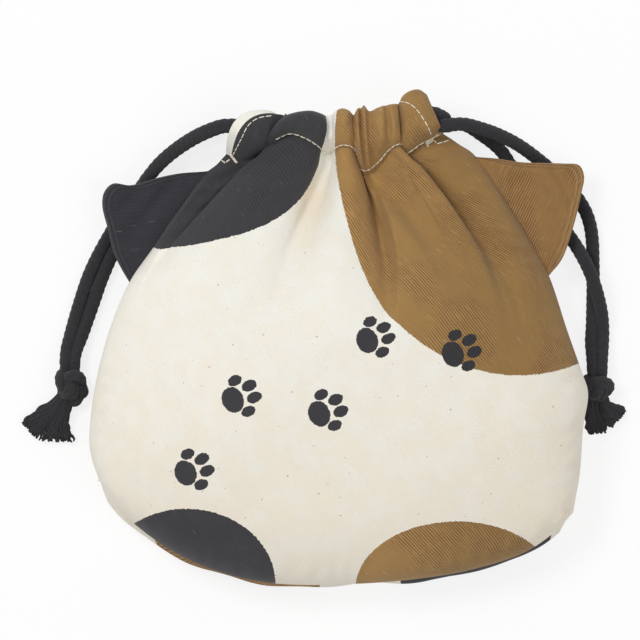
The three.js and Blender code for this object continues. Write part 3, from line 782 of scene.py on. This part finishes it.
def tail(name, seed):
    """A frayed end: yarns that leave the cord and spread like a flat brush."""
    cord = name.split("_")[0]
    rng = np.random.default_rng(seed)
    route = TAIL_ROUTES[name]
    lane = np.sign(route[0][0] - KNOTS[cord]["at"][0])
    points = [in_knot(cord, lane)]
    points += [[x, y, lift + TAIL_THICKNESS / 2] for x, y, lift, _ in route]
    middle = curve(points, 40)
    share = lengths(middle) / lengths(middle)[-1]
    given = lengths(np.array(points))
    width = np.interp(share, given / given[-1], [CORD, *[place[3] for place in route]])
    forward = unit(np.gradient(middle, axis=0))
    side = unit(np.cross(forward, (0, 0, 1.0)))
    up = np.cross(side, forward)
    count, thick = YARNS[cord]
    depth = TAIL_THICKNESS / 2 - thick / 2
    even = np.linspace(0, 1, YARN_POINTS)
    pile = Pile()
    for _ in range(count):
        # A place in the round cord, which the fan then stretches sideways
        radius, angle = np.sqrt(rng.uniform(0, 1)), rng.uniform(0, 2 * np.pi)
        across, high = radius * np.cos(angle), radius * np.sin(angle)
        t = share * rng.uniform(0.88, 1.0)
        wander = rng.normal(0, 0.07, 2) * smoothstep(0.25, 1, share)[:, None]
        curl = 0.12 * np.sin(2 * np.pi * (t * rng.uniform(2.4, 4.6) + rng.uniform(0, 1)))
        spread = np.interp(t, share, width) / 2 - thick / 2
        off_side = (across + wander[:, 0] + curl * t) * spread
        off_up = np.clip(high + wander[:, 1], -1, 1) * depth * mix(1, 0.8, t)
        path = at_lengths(t, share, middle) + side * off_side[:, None] + up * off_up[:, None]
        path[:, 2] = np.maximum(path[:, 2], thick / 2 + 0.05)
        taper = thick / 2 * np.interp(even, [0, 0.9, 1], [1, 1, 0.5]) * rng.uniform(0.75, 1.15)
        path = spaced(path, YARN_POINTS)
        pile.add(*rope(path, taper, 8, rng.uniform(0, 9), yarn_section, 2.6))
    return pile.piece(name, "_yarns", f"{cord}_cord", *BLACK_CORD)


cords = {name: make_cord(name) for name in CORD_ROUTES}
ends = {name: tail(name, TAIL_SEED + n) for n, name in enumerate(TAIL_ROUTES)}
for cord in SIDE:
    cord_turn(cord)
    ends[f"{cord}_knot"] = knot(cord)
for name, (obj, path) in cords.items():
    cord, _, layer = name.split("_")
    carried = [f"{cord}_knot", f"{cord}_cord_tail_outer", f"{cord}_cord_tail_inner"]
    ((path[0] + SHIFT) * MM).tolist()
    ((path[::6] + SHIFT) * MM).tolist() + [((path[-1] + SHIFT) * MM).tolist()]
    [ends[key] for key in carried] if layer == "front" else []


# The panels


LEFT_SEAM = [
    [-95.6, -57], [-99.2, -45], [-98.9, -32], [-95.8, -13], [-90.8, 4.6], [-83.4, 22.2], [-74.2, 35.6],
    [-63.8, 50.8], [-52.3, 64.3], [-46.8, 68],
]
RIGHT_SEAM = [
    [94, -70], [96.8, -53.4], [98, -36], [100, -22], [97.2, -13], [91.6, 3], [84.4, 24.6], [78.2, 36.2],
    [71.2, 48.2], [62.8, 60.8], [53.2, 70.8], [47.4, 73.6],
]
BOTTOM_SEAM = [
    [-87.2, -69], [-78.4, -77], [-66.8, -85], [-49.6, -93], [-26.4, -98.2], [9.2, -98.4], [37.2, -95.8],
    [54.4, -92.6], [74.4, -86], [86.8, -77.6],
]
# How far each panel swells from the height of its seams
SWELL = {"front": 30, "back": 27}
ROUNDNESS = 2.4

# The gathers of the front from left to right. Each row is one crest, slope or valley: its
# place on the stitch line, halfway up the casing and at the top edge, each as x, y and z,
# how far down the panel it reaches, from 1 at the mouth to 0 at the bottom, and where it
# starts on the flat panel, from 0 at the left seam to 1 at the right one.
FRONT_GATHERS = [
    [-44.8, 73.2, 16, -40.2, 87.4, 27.6, -27, 90.5, 23.6, 0.86, 0],
    [-43.4, 72.6, 16.2, -38, 86.4, 28.4, -25.6, 89.9, 24, 0.84, 0.008],
    [-42.6, 72.2, 16.8, -36.6, 85.8, 29.2, -24.8, 89.3, 25, 0.82, 0.015],
    [-37.5, 70.6, 16.6, -32, 84.6, 29.5, -22.8, 89, 25, 0.72, 0.026],
    [-31.6, 72.8, 16.8, -28, 83, 28.6, -21.9, 88.8, 24.4, 0.66, 0.038],
    [-25.5, 75.6, 15.8, -23.2, 83.2, 27.4, -20.9, 88.4, 23.2, 0.6, 0.05],
    [-29, 76.2, 20.6, -26, 83.4, 30.4, -21, 88.6, 26, 0.52, 0.064],
    [-24.4, 78.6, 24.6, -22.2, 84.4, 32.8, -18.6, 89.4, 28, 0.45, 0.135],
    [-19.4, 80.8, 26.6, -17.6, 85.2, 33.6, -14.8, 90.2, 28.6, 0.45, 0.215],
    [-13.6, 79, 26.6, -11.8, 84.6, 33.4, -10.4, 90.4, 28.4, 0.45, 0.285],
    [-9, 76, 25.2, -6.4, 82.8, 31.8, -6.4, 89.2, 27, 0.48, 0.335],
    [-7.2, 74.2, 21.4, -4.6, 82.2, 29.4, -5.2, 88.6, 24.4, 0.5, 0.366],
    [-6.6, 73.2, 16.6, -5.2, 82.2, 27.5, -4.8, 88.6, 22.6, 0.5, 0.392],
    [-3.2, 73.4, 16.6, -2.6, 82.6, 27.4, -3, 88.8, 22.4, 0.5, 0.415],
    [-1.6, 74.2, 20.5, -1.4, 83.2, 30, -1.2, 90.2, 25.4, 0.48, 0.443],
    [1.6, 75.8, 24.6, 1.2, 84, 32, 1.6, 91.4, 27.2, 0.45, 0.475],
    [4.8, 75.4, 24.2, 3.8, 83.8, 31.4, 4, 90.8, 26.6, 0.45, 0.505],
    [7.4, 73, 20, 5.6, 83, 28.8, 5.4, 89.6, 23.4, 0.46, 0.548],
    [8.6, 66.6, 13.6, 6.6, 80.2, 27.4, 6.4, 89, 22.6, 0.48, 0.582],
    [10.2, 64.8, 16.4, 8.2, 80.4, 30.4, 7.8, 91.4, 26.4, 0.62, 0.602],
    [11.4, 64.6, 15.4, 9.4, 80.4, 27.6, 9.2, 91.6, 23.4, 0.76, 0.618],
    [13, 65.2, 17, 11, 80.8, 30.6, 10.4, 92.6, 26.8, 0.76, 0.636],
    [14.6, 66.6, 17, 12.6, 81, 28, 12.4, 90.4, 23.2, 0.72, 0.656],
    [17, 69, 19.4, 15.4, 82, 31, 15.6, 91.6, 26.4, 0.6, 0.69],
    [19.4, 72.4, 22.6, 18, 83.2, 31.8, 17.8, 92.4, 27.2, 0.55, 0.722],
    [20.8, 74.2, 23.4, 20.2, 83.4, 29.6, 19.2, 92.6, 25, 0.86, 0.742],
    [22.6, 75.6, 25.6, 22, 83.8, 31.8, 20.8, 93, 27.4, 0.6, 0.764],
    [24.6, 76.6, 25, 24.2, 83.8, 30.4, 23, 93.2, 26.2, 0.46, 0.786],
    [24.9, 75.8, 21.6, 24.6, 83.4, 28.8, 23.9, 93.1, 24.6, 0.46, 0.8],
    [23, 73, 14.4, 23.4, 82.6, 27.4, 23.6, 92.6, 23.2, 0.5, 0.826],
    [26.4, 71.8, 16.2, 25.2, 83, 27.7, 24.6, 94.2, 23.8, 0.48, 0.85],
    [29.2, 73, 19.4, 27.6, 85, 30.4, 25.8, 96.4, 26.8, 0.6, 0.888],
    [32.4, 75.8, 20.4, 32, 86.4, 31.2, 28.8, 98.4, 27.6, 0.66, 0.928],
    [36.5, 78.4, 19.2, 36.8, 87, 30.2, 32.2, 98.9, 27, 0.74, 0.968],
    [42.2, 81.4, 15.6, 39.7, 87, 27.4, 35.4, 97, 24.6, 0.84, 1],
]
HEM_ROW = 2
FOLD_ROW = 6
# The two ends of the back's stitch line, of the middle of its casing and of its top edge, by
# their column in the table, and the top edge itself, which stays hidden behind the front's
BACK_ENDS = [
    (0, (-44.2, 72.8), (41.6, 80)),
    (3, (-42.4, 82), (40.2, 85.5)),
    (6, (-37.5, 88.8), (37.4, 93.8)),
]
BACK_TOP = [(-37.5, 88.8), (-20, 88.5), (0, 88.7), (8, 89.3), (20, 91.6), (37.4, 93.8)]
# How the heights in three columns of the front's table become the back's
BACK_HEIGHTS = [
    (2, [15.4, 26.6], [13.4, 5.5]),
    (5, [26.4, 33.6], [1.7, 0.45]),
    (8, [22.4, 28.6], [5.8, 4]),
]

# How far the folds spread outwards on their way down, as a share of the panel's width
FAN = 0.07
# How soon the casing's face is at its full height, as a share of its way up, and the height
# at which its lining ends
CLIMB = {"front": 0.42, "back": 0.26}
LINING_END = {"front": 19.5, "back": 10.3}
# A soft hollow near the right seam: its place, its reach and its depth
HOLLOW = ((70, 12), (15, 20), 1.5)

# The panel's width and height between its seams, how far up the casing's face goes from the
# stitch line, and how far its lining then comes down again
PANEL_WIDTH = 190
PANEL_HEIGHT = 170
FACE_HEIGHT = 17
LINING_HEIGHT = 15
BODY_ROWS = 170
FACE_ROWS = 34
LINING_ROWS = 18
COLUMNS = 281


def seam_height(y):
    return mix(SEAM_HEIGHT, MOUTH_Z, smoothstep(0, MOUTH_AT[1], y))


def crowd(t, edge, power):
    """Moves places near 0 and 1 closer to the edge, where the cloth turns fastest."""
    near = np.minimum(t, 1 - t)
    pulled = np.where(near < edge, edge * (near / edge) ** power, near)
    return np.where(t < 0.5, pulled, 1 - pulled)


def along_line(line, t):
    return at_lengths(t, np.linspace(0, 1, len(line)), line)


def seam_line(places, side):
    return curve([*places, from_mouth(side * MOUTH_WIDTH / 2, 0)], 500)


LEFT_LINE = seam_line(LEFT_SEAM, -1)
RIGHT_LINE = seam_line(RIGHT_SEAM, 1)
BOTTOM_LINE = curve([LEFT_SEAM[0], *BOTTOM_SEAM, RIGHT_SEAM[0]], 500)


def plan(u, v):
    """Places in plan between the seams, with u across and v up, both as columns of a grid."""
    left, right = along_line(LEFT_LINE, v), along_line(RIGHT_LINE, v)
    low, high = along_line(BOTTOM_LINE, u), from_mouth((u - 0.5) * MOUTH_WIDTH, 0)
    u, v = u[..., None], v[..., None]
    corners = [mix(LEFT_LINE[end], RIGHT_LINE[end], u) for end in (0, -1)]
    return mix(left, right, u) + mix(low, high, v) - mix(*corners, v)


def belly(u, v, full, at_mouth):
    """How far a panel swells away from the height of its seams."""
    across = np.sqrt(np.maximum(0, 1 - np.abs(2 * u - 1) ** ROUNDNESS))
    along = np.sqrt(1 - (1 - np.minimum(v / 0.5, 1)) ** ROUNDNESS)
    both = across * along
    round_off = both / np.sqrt(np.maximum(across**2 + along**2 - both**2, 1e-12))
    mouth = rounded(np.minimum(u, 1 - u) / 0.09)
    return mix(full * round_off, at_mouth * mouth, smoothstep(0.5, 1, v))


def back_gathers():
    """The back's gathers: the front's in reverse order, pressed flat against the table."""
    rows = np.array(FRONT_GATHERS)[::-1].copy()
    for x, left, right in BACK_ENDS:
        share = (rows[:, x] - rows[0, x]) / (rows[-1, x] - rows[0, x])
        away = rows[:, x + 1] - mix(rows[0, x + 1], rows[-1, x + 1], share)
        rows[:, x] = mix(left[0], right[0], share)
        rows[:, x + 1] = mix(left[1], right[1], share) + 0.5 * away
    rows[:, 7] = np.interp(rows[:, 6], *np.transpose(BACK_TOP)) - 0.25 * (1 + np.sin(rows[:, 6]))
    for column, front, back in BACK_HEIGHTS:
        rows[:, column] = np.interp(rows[:, column], front, back)
    rows[:, 10] = 1 - rows[:, 10]
    return rows


def panel_grid(side):
    """Rows of points up the panel, over the casing's face and down its lining."""
    gathers = curve(FRONT_GATHERS if side > 0 else back_gathers(), COLUMNS)
    stitch, half_way, top, reach = gathers[:, 0:3], gathers[:, 3:6], gathers[:, 6:9], gathers[:, 9]
    s = np.clip(np.maximum.accumulate(gathers[:, 10]), 0, 1)
    t = np.linspace(0, 1, BODY_ROWS)
    v, u = np.meshgrid(crowd(t, 0.1, 1.7), crowd(s, 0.03, 1.5), indexing="ij")
    u = u + FAN * np.sin(2 * np.pi * (u - 0.5)) * smoothstep(1, 0.65, v) * smoothstep(0, 0.3, v)
    base = plan(u, v)
    layer = "front" if side > 0 else "back"
    away = 0.15 + belly(u, v, SWELL[layer], abs(CASING_Z[layer] - MOUTH_Z) + 0.5)
    z = seam_height(base[..., 1]) + side * away
    body = raised(base, z)
    held = smoothstep(np.minimum(reach, 0.8), 1, v)[..., None] ** 0.85
    deep = smoothstep(reach, 1, v)[..., None] ** 0.8
    body = body + (stitch - body[-1]) * np.concatenate([held, held, deep], -1)
    body = body + dents(body, u, v, side)
    if side < 0:
        inward = v * PANEL_HEIGHT
        bulge = smoothstep(0, 2.5, inward) * (1 - smoothstep(3, 20, inward))
        bulge = bulge * np.clip(np.minimum(u, 1 - u) / 0.04, 0, 1)
        body[..., 1] -= bulge * (inward + 1.3 + 0.5 * waves(body[..., 0], 0, 30, 51))
        # Pressed flat by the table
        body[..., 2] = 0.5 * (body[..., 2] + np.sqrt(body[..., 2] ** 2 + 0.8**2)) + 0.02
    rise = np.linspace(0, FACE_HEIGHT, FACE_ROWS + 1)[1:]
    over = np.linspace(FACE_HEIGHT, FACE_HEIGHT + LINING_HEIGHT, LINING_ROWS + 1)[1:]
    up = np.concatenate([rise, over])[:, None, None] * np.array([0, 1.0])
    grid = np.concatenate([body, *casing_rows(stitch, half_way, top, side)])
    return grid, np.concatenate([base, base[-1] + up])


def dents(body, u, v, side):
    """Puckers along the seams and soft unevenness of the filled cloth."""
    x, y = body[..., 0], body[..., 1]
    from_side, from_bottom = np.minimum(u, 1 - u) * PANEL_WIDTH, v * PANEL_HEIGHT
    inward = np.minimum(from_side, from_bottom)
    run = np.where(from_side < from_bottom, y, x)
    ripple = np.sin(2 * np.pi * run / 8.6 + 2.0 * waves(x, y, 30, 3))
    pucker = 0.42 * np.exp(-((inward - 4) ** 2) / 18) * ripple
    soft = 0.55 * waves(x, y, 62, 5 + side) * smoothstep(0, 26, inward)
    small = 0.10 * waves(x, y, 13, 9 + side) * smoothstep(0, 10, inward)
    moved = np.zeros(body.shape)
    moved[..., 2] = side * (pucker + soft + small) * (1 - smoothstep(0.93, 1, v))
    if side > 0:
        (cx, cy), (rx, ry), deep = HOLLOW
        moved[..., 2] -= deep * np.exp(-(((x - cx) / rx) ** 2) - ((y - cy) / ry) ** 2)
    return moved


def casing_rows(stitch, half_way, top, side):
    """The casing from its stitch line over the cords to the top edge, and its lining back."""
    a = np.linspace(0, 1, FACE_ROWS + 1)[1:, None, None]
    low, high = stitch * (a - 0.5) * (a - 1), top * a * (a - 0.5)
    face = 2 * (low + high) - 4 * half_way * a * (a - 1)
    a = a[..., 0]
    layer = "front" if side > 0 else "back"
    climb = np.sin(np.clip(a / CLIMB[layer], 0, 1) * np.pi / 2) ** 0.9
    rising = mix(stitch[:, 2], half_way[:, 2], climb)
    rounding = rounded((1 - a) / 0.45, 2.2)
    face[..., 2] = np.where(a < 0.5, rising, mix(top[:, 2], half_way[:, 2], rounding))
    crease = waves(face[..., 0], face[..., 1] * 0.4, 3.4, 17 + side) * 0.22
    face[..., 2] += side * crease * np.sin(np.pi * a)
    b = np.linspace(0, 1, LINING_ROWS + 1)[1:, None]
    lining = np.zeros((LINING_ROWS, len(stitch), 3))
    foot = mix(stitch, half_way, 0.5)
    lining[..., :2] = mix(top[:, :2], foot[:, :2], b[..., None])
    lining[..., 2] = mix(top[:, 2], LINING_END[layer], rounded(b / 0.35, 2.2))
    ripple = waves(lining[..., 0], lining[..., 1] * 0.3, 7, 23 + side) * 0.35
    lining[..., 2] -= side * np.abs(ripple) * smoothstep(0.2, 0.5, b)
    return face, lining


def weave_map(grid, place):
    """Distances along the cloth, which agree with place on the middle row and column."""
    x = np.stack([lengths(row) for row in grid])
    y = np.stack([lengths(column) for column in grid.swapaxes(0, 1)], -1)
    row, column = BODY_ROWS // 2, COLUMNS // 2
    x = x - x[:, [column]] + place[:, [column], 0]
    y = y - y[[row]] + place[[row], :, 1]
    weave = np.stack([x, y, 0 * x], -1)
    # The casing's gathers are too tight for that, so there it follows the place in plan
    weave[BODY_ROWS:, :, :2] = grid[BODY_ROWS:, :, :2] * 1.1
    return weave


def shell(outer, inner, flip):
    """Points and faces of a closed sheet: its outer side, its inner side and its four rims."""
    rows, columns = outer.shape[:2]
    n = rows * columns
    faces = [grid_faces(rows, columns), grid_faces(rows, columns, n, flip=True)]
    index = np.arange(n).reshape(rows, columns)
    for edge in (index[0][::-1], index[:, 0], index[-1], index[::-1, -1]):
        faces.append(np.stack([edge[:-1], edge[1:], edge[1:] + n, edge[:-1] + n], -1))
    faces = np.vstack(faces)
    points = np.vstack([outer.reshape(-1, 3), inner.reshape(-1, 3)])
    return points, faces[:, ::-1] if flip else faces


def panel(side):
    """The cloth of the front, for side 1, or of the back, for side -1, with its casing."""
    name = "front" if side > 0 else "back"
    grid, place = panel_grid(side)
    normals = unit(np.cross(np.gradient(grid, axis=1), np.gradient(grid, axis=0))) * side
    points, faces = shell(grid, grid - normals * CLOTH, side < 0)
    weave = weave_map(grid, place)
    bare = np.zeros(grid.shape[:2])
    if side > 0:
        bare[BODY_ROWS:, : row_column(HEM_ROW)] = 1
    else:
        place = place * np.array([-1, 1])
        bare = 0.5 * smoothstep(-40, -38, place[..., 1])
    outside = raised(place, bare)
    bare[:BODY_ROWS] = 1
    bare[BODY_ROWS + FACE_ROWS :] = 1
    attributes = {"weave": [weave, weave], "place": [outside, raised(place, bare)]}
    obj = new_mesh(f"{name}_cloth", points, faces, PRINTED, attributes)
    dress(obj, "pouch", "natural_twill", f"{name}_panel", f"{name}_casing")
    return obj, grid, normals


def row_column(row):
    """The column of the front's grid that one row of the gathers lies on."""
    table = np.array(FRONT_GATHERS)
    fine = curve(table, 4000)
    near = np.linalg.norm(fine - table[row], axis=1).argmin()
    return int(round(near / (len(fine) - 1) * (COLUMNS - 1)))


front_cloth, front_grid, front_normals = panel(1)
back_cloth, back_grid, back_normals = panel(-1)


# Ears


EARS = {
    "left": {
        "outline": [
            [-83.4, 22], [-86.4, 27], [-89.7, 33.9], [-92, 43], [-94.4, 53], [-93.6, 58.2],
            [-90.2, 61.6], [-83, 61], [-73.6, 63.6], [-63.4, 65.7], [-53.6, 66.4],
        ],
        "origin": (-69.463, 46.42, 16.132),
        "outward": (-0.8177, 0.5757, 0),
        "cloth": BLACK_CLOTH,
        "slot": "black_twill",
        "wrinkles": [
            ((-67, 60), (-85, 40), 3.4, -2.2), ((-62, 61), (-72, 48), 2.8, 1.4),
            ((-90.5, 58), (-90, 56), 4.4, 1.7), ((-88, 50), (-83, 56), 2.2, -1.2),
            ((-88, 44), (-86, 36), 2.4, 1),
        ],
    },
    "right": {
        "outline": [
            [84.6, 25], [89.6, 31.4], [94.4, 45], [97.4, 57.4], [98.6, 64.8], [96.6, 69], [90, 69.7],
            [73.2, 70.2], [64, 71.6], [55.6, 72.2],
        ],
        "origin": (72.388, 49.702, 16.043),
        "outward": (0.8326, 0.5539, 0),
        "cloth": BROWN_CLOTH,
        "slot": "brown_twill",
        "wrinkles": [
            ((86, 69), (94, 54), 2.2, -1.2), ((91, 69), (96, 58), 2, 0.7),
            ((64, 68), (73, 58), 1.8, -0.9), ((76, 64.4), (82.5, 62.6), 1.9, -0.8),
            ((80, 58), (90, 38), 3, 0.8),
        ],
    },
}
EAR_THICKNESS = 2.3
EAR_RADIAL = 60
EAR_ALONG = 110
EAR_DROOP = 1.6
# How far an ear goes in past its seam, and how far in from its outline it is rounded off
EAR_TUCK = 1.6
EAR_ROUNDING = 1.5


def wrinkles(flat, lines):
    """Soft dents and bulges, each along a line between two places."""
    total = np.zeros(flat.shape[:2])
    for start, stop, width, height in lines:
        start, way = np.array(start), np.array(stop) - np.array(start)
        share = np.clip(((flat - start) @ way) / way.dot(way), 0, 1)
        away = np.linalg.norm(flat - start - share[..., None] * way, axis=-1)
        total += height * np.exp(-((away / width) ** 2))
    return total


def ear(name):
    """An ear's two layers as one soft sheet, from its seam out to its outline."""
    facts = EARS[name]
    side, line = SIDE[name], LEFT_LINE if name == "left" else RIGHT_LINE
    origin, outward = np.array(facts["origin"]), np.array(facts["outward"])
    outer = curve(facts["outline"], EAR_ALONG)
    held = line[(line[:, 1] >= outer[0, 1] - 1) & (line[:, 1] <= outer[-1, 1] + 1)]
    inner = spaced(held, EAR_ALONG) - side * np.array([EAR_TUCK, 0])
    p = 1 - (1 - np.linspace(0, 1, EAR_RADIAL)[:, None, None]) ** 1.5
    flat = mix(inner, outer, p)
    x, y = flat[..., 0], flat[..., 1]
    edge = np.linalg.norm(flat - outer, axis=-1)
    ridges = sum(high * np.exp(-(((edge - at) / 0.62) ** 2)) for at, high in EDGE_RIDGES)
    half = np.maximum((EAR_THICKNESS / 2 + ridges) * rounded(edge / EAR_ROUNDING), 0.02)
    out = (x - origin[0]) * outward[0] + (y - origin[1]) * outward[1]
    bend = 0.6 * waves(x, y, 24, 31 + side) + 0.3 * waves(x, y, 9, 37 + side)
    bend = (bend + wrinkles(flat, facts["wrinkles"])) * smoothstep(0, 8, out)
    level = seam_height(y) + bend - EAR_DROOP * smoothstep(8, 30, out)
    points, faces = shell(raised(flat, level + half), raised(flat, level - half), side > 0)
    attributes = {"weave": [raised(flat, 0 * x)] * 2, "edge": [np.stack([edge] * 3, -1)] * 2}
    obj = new_mesh(f"{name}_ear_cloth", points, faces, facts["cloth"], attributes)
    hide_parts(f"{name}_ear_front", f"{name}_ear_back")
    origin = (origin + SHIFT) * MM
    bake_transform(obj)
    return obj


ears = {name: ear(name) for name in EARS}


# Stitches


STITCH = 2.5
STITCH_GAP = 0.2
HEM_STITCH_GAP = 0.4
STITCH_THICK = 0.46
STITCH_ROW = BODY_ROWS + 1
TACK_THICK = 0.6
# How many columns past its fold the front casing's stitches start, and the columns of the
# back that its hems' stitches lie on
PAST_FOLD = 9
BACK_HEMS = {"left": 5, "right": COLUMNS - 14}


def thread_run(pile, points, thickness=STITCH_THICK):
    """One length of thread along points, with rounded ends."""
    t = np.linspace(0, 1, 9)
    radius = thickness / 2 * np.sqrt(np.clip(1 - np.abs(2 * t - 1) ** 6, 0.08, 1))
    pile.add(*rope(spaced(points, len(t)), radius, 8, 0, np.ones_like))


def stitch_piece(name, line, normals, gap=STITCH_GAP):
    """Stitches along a line on the cloth, each ducking into the cloth at its ends."""
    along = lengths(line)
    pile = Pile()
    place = 0.0
    while place + STITCH < along[-1]:
        t = place + np.linspace(0, STITCH, 7)
        out = unit(at_lengths(t, along, normals))
        lift = 0.2 * np.sin(np.linspace(0, np.pi, 7)) ** 0.5 - 0.06
        thread_run(pile, at_lengths(t, along, line) + out * lift[:, None])
        place += STITCH + gap
    pile.piece(name, "_thread", "pouch", *CREAM_THREAD)


along_foot = (STITCH_ROW, slice(row_column(FOLD_ROW) + PAST_FOLD, None))
stitch_piece("front_casing_stitch", front_grid[along_foot], front_normals[along_foot])
stitch_piece("back_casing_stitch", back_grid[STITCH_ROW], back_normals[STITCH_ROW])
for end, column in BACK_HEMS.items():
    up = (slice(BODY_ROWS + 2, BODY_ROWS + FACE_ROWS - 1), column)
    stitch_piece(f"{end}_back_hem_stitch", back_grid[up], back_normals[up], HEM_STITCH_GAP)

tree = BVHTree.FromPolygons(
    [Vector(p) for p in front_grid.reshape(-1, 3)],
    grid_faces(*front_grid.shape[:2]).tolist(),
)


def on_cloth(points, lift):
    """The same places in plan, set on the front cloth."""
    found = []
    for x, y in points:
        hit = tree.ray_cast(Vector((x, y, 80)), Vector((0, 0, -1)))[0]
        found.append([x, y, (hit.z if hit else MOUTH_Z) + lift])
    return np.array(found)


FRONT_HEMS = {
    "left": [(-42.0, 72.9), (-38.4, 79.6), (-36.0, 84.2), (-33.4, 86.6), (-30.6, 87.8), (-26.2, 88.4)],
    "right": [
        (24.6, 94.0), (26.6, 93.8), (28.8, 92.9), (30.8, 91.3),
        (32.6, 89.1), (34.7, 85.8), (36.6, 82.2), (37.4, 80.2),
    ],
}

for name, route in FRONT_HEMS.items():
    line = on_cloth(curve(route, 90), 0)
    upward = np.tile([0, 0, 1.0], (len(line), 1))
    stitch_piece(f"{name}_front_hem_stitch", line, upward, HEM_STITCH_GAP)


TACKS = {
    "left": [
        [(-43.4, 73.3), (-40.5, 69.5)], [(-43, 73.4), (-40.1, 69.7)], [(-46.6, 70.9), (-45.1, 69.8)],
        [(-44.8, 70.1), (-43.3, 71.2)], [(-57, 60.9), (-56.5, 61.7)], [(-55.8, 62.6), (-53.6, 65.6)],
    ],
    "right": [
        [(34.8, 77.2), (38.3, 79.6)], [(35, 77.8), (37.9, 79.9)], [(35.4, 76.9), (38.3, 79)],
        [(34.9, 77.5), (38, 79.3)], [(35.3, 77), (36.3, 76.2)], [(38, 79.6), (39.9, 81.4)],
        [(38.4, 78.9), (39.3, 77.8)], [(39.6, 77.5), (41.8, 78.1)], [(42, 78.1), (44.4, 79)],
    ],
}

for name, threads in TACKS.items():
    pile = Pile()
    for a, b in threads:
        line = mix(np.array(a), np.array(b), np.linspace(0, 1, 7)[:, None])
        thread_run(pile, on_cloth(line, 0.32), TACK_THICK)
    pile.piece(f"{name}_bar_tack", "_thread", "pouch", *CREAM_THREAD)


# What stays from the cad


for name in ("left_side_overlock", "bottom_overlock", "right_side_overlock"):
    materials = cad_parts[name].data.materials
    materials.clear()
    materials.append(OVERLOCK)


# Floor and light


def white_floor():
    nodes = Nodes(bpy.data.materials.new("white_floor"))
    kinds = ("Is Camera Ray", "Is Glossy Ray", "Is Transmission Ray")
    seen = nodes.choose("MAXIMUM", [nodes.get("ShaderNodeLightPath", {}, kind) for kind in kinds])
    diffuse = nodes.get("ShaderNodeBsdfDiffuse", {"Color": rgb(0.95, 0.95, 0.95)})
    glow = nodes.get("ShaderNodeEmission", {"Color": WHITE, "Strength": 1.0})
    mixed = nodes.get("ShaderNodeMixShader", (seen * 0.8, diffuse, glow))
    nodes.add("ShaderNodeOutputMaterial", {"Surface": mixed})
    return nodes.owner


def add_floor():
    mesh = bpy.data.meshes.new("floor")
    r = 1.6
    mesh.from_pydata([(-r, -r, 0), (r, -r, 0), (r, r, 0), (-r, r, 0)], [], [(0, 1, 2, 3)])
    mesh.materials.append(white_floor())
    put("floor", mesh, (0, 0, -0.0002))


def add_lamp(name, at, size, power):
    data = bpy.data.lights.new(name, "AREA")
    data.shape = "DISK"
    data.size = size
    data.energy = power
    put(name, data, at).rotation_euler = (-Vector(at)).to_track_quat("-Z", "Y").to_euler()


def add_world():
    """White where the camera looks, and a dimmer light from all sides on the pouch."""
    world = bpy.data.worlds.new("world")
    nodes = Nodes(world)
    direct = nodes.get("ShaderNodeLightPath", {}, "Is Camera Ray")
    ambient = nodes.get("ShaderNodeBackground", (WHITE, 0.46))
    backdrop = nodes.get("ShaderNodeBackground", (WHITE, 1.0))
    both = nodes.get("ShaderNodeMixShader", (direct, ambient, backdrop))
    nodes.add("ShaderNodeOutputWorld", (both,))
    bpy.context.scene.world = world


add_floor()
add_lamp("key", (-0.75, 0.6, 1.45), 0.7, 13.5)
add_lamp("fill", (0.75, -0.45, 1.5), 1.2, 6.5)
add_world()
bpy.context.scene.view_settings.view_transform = "Standard"
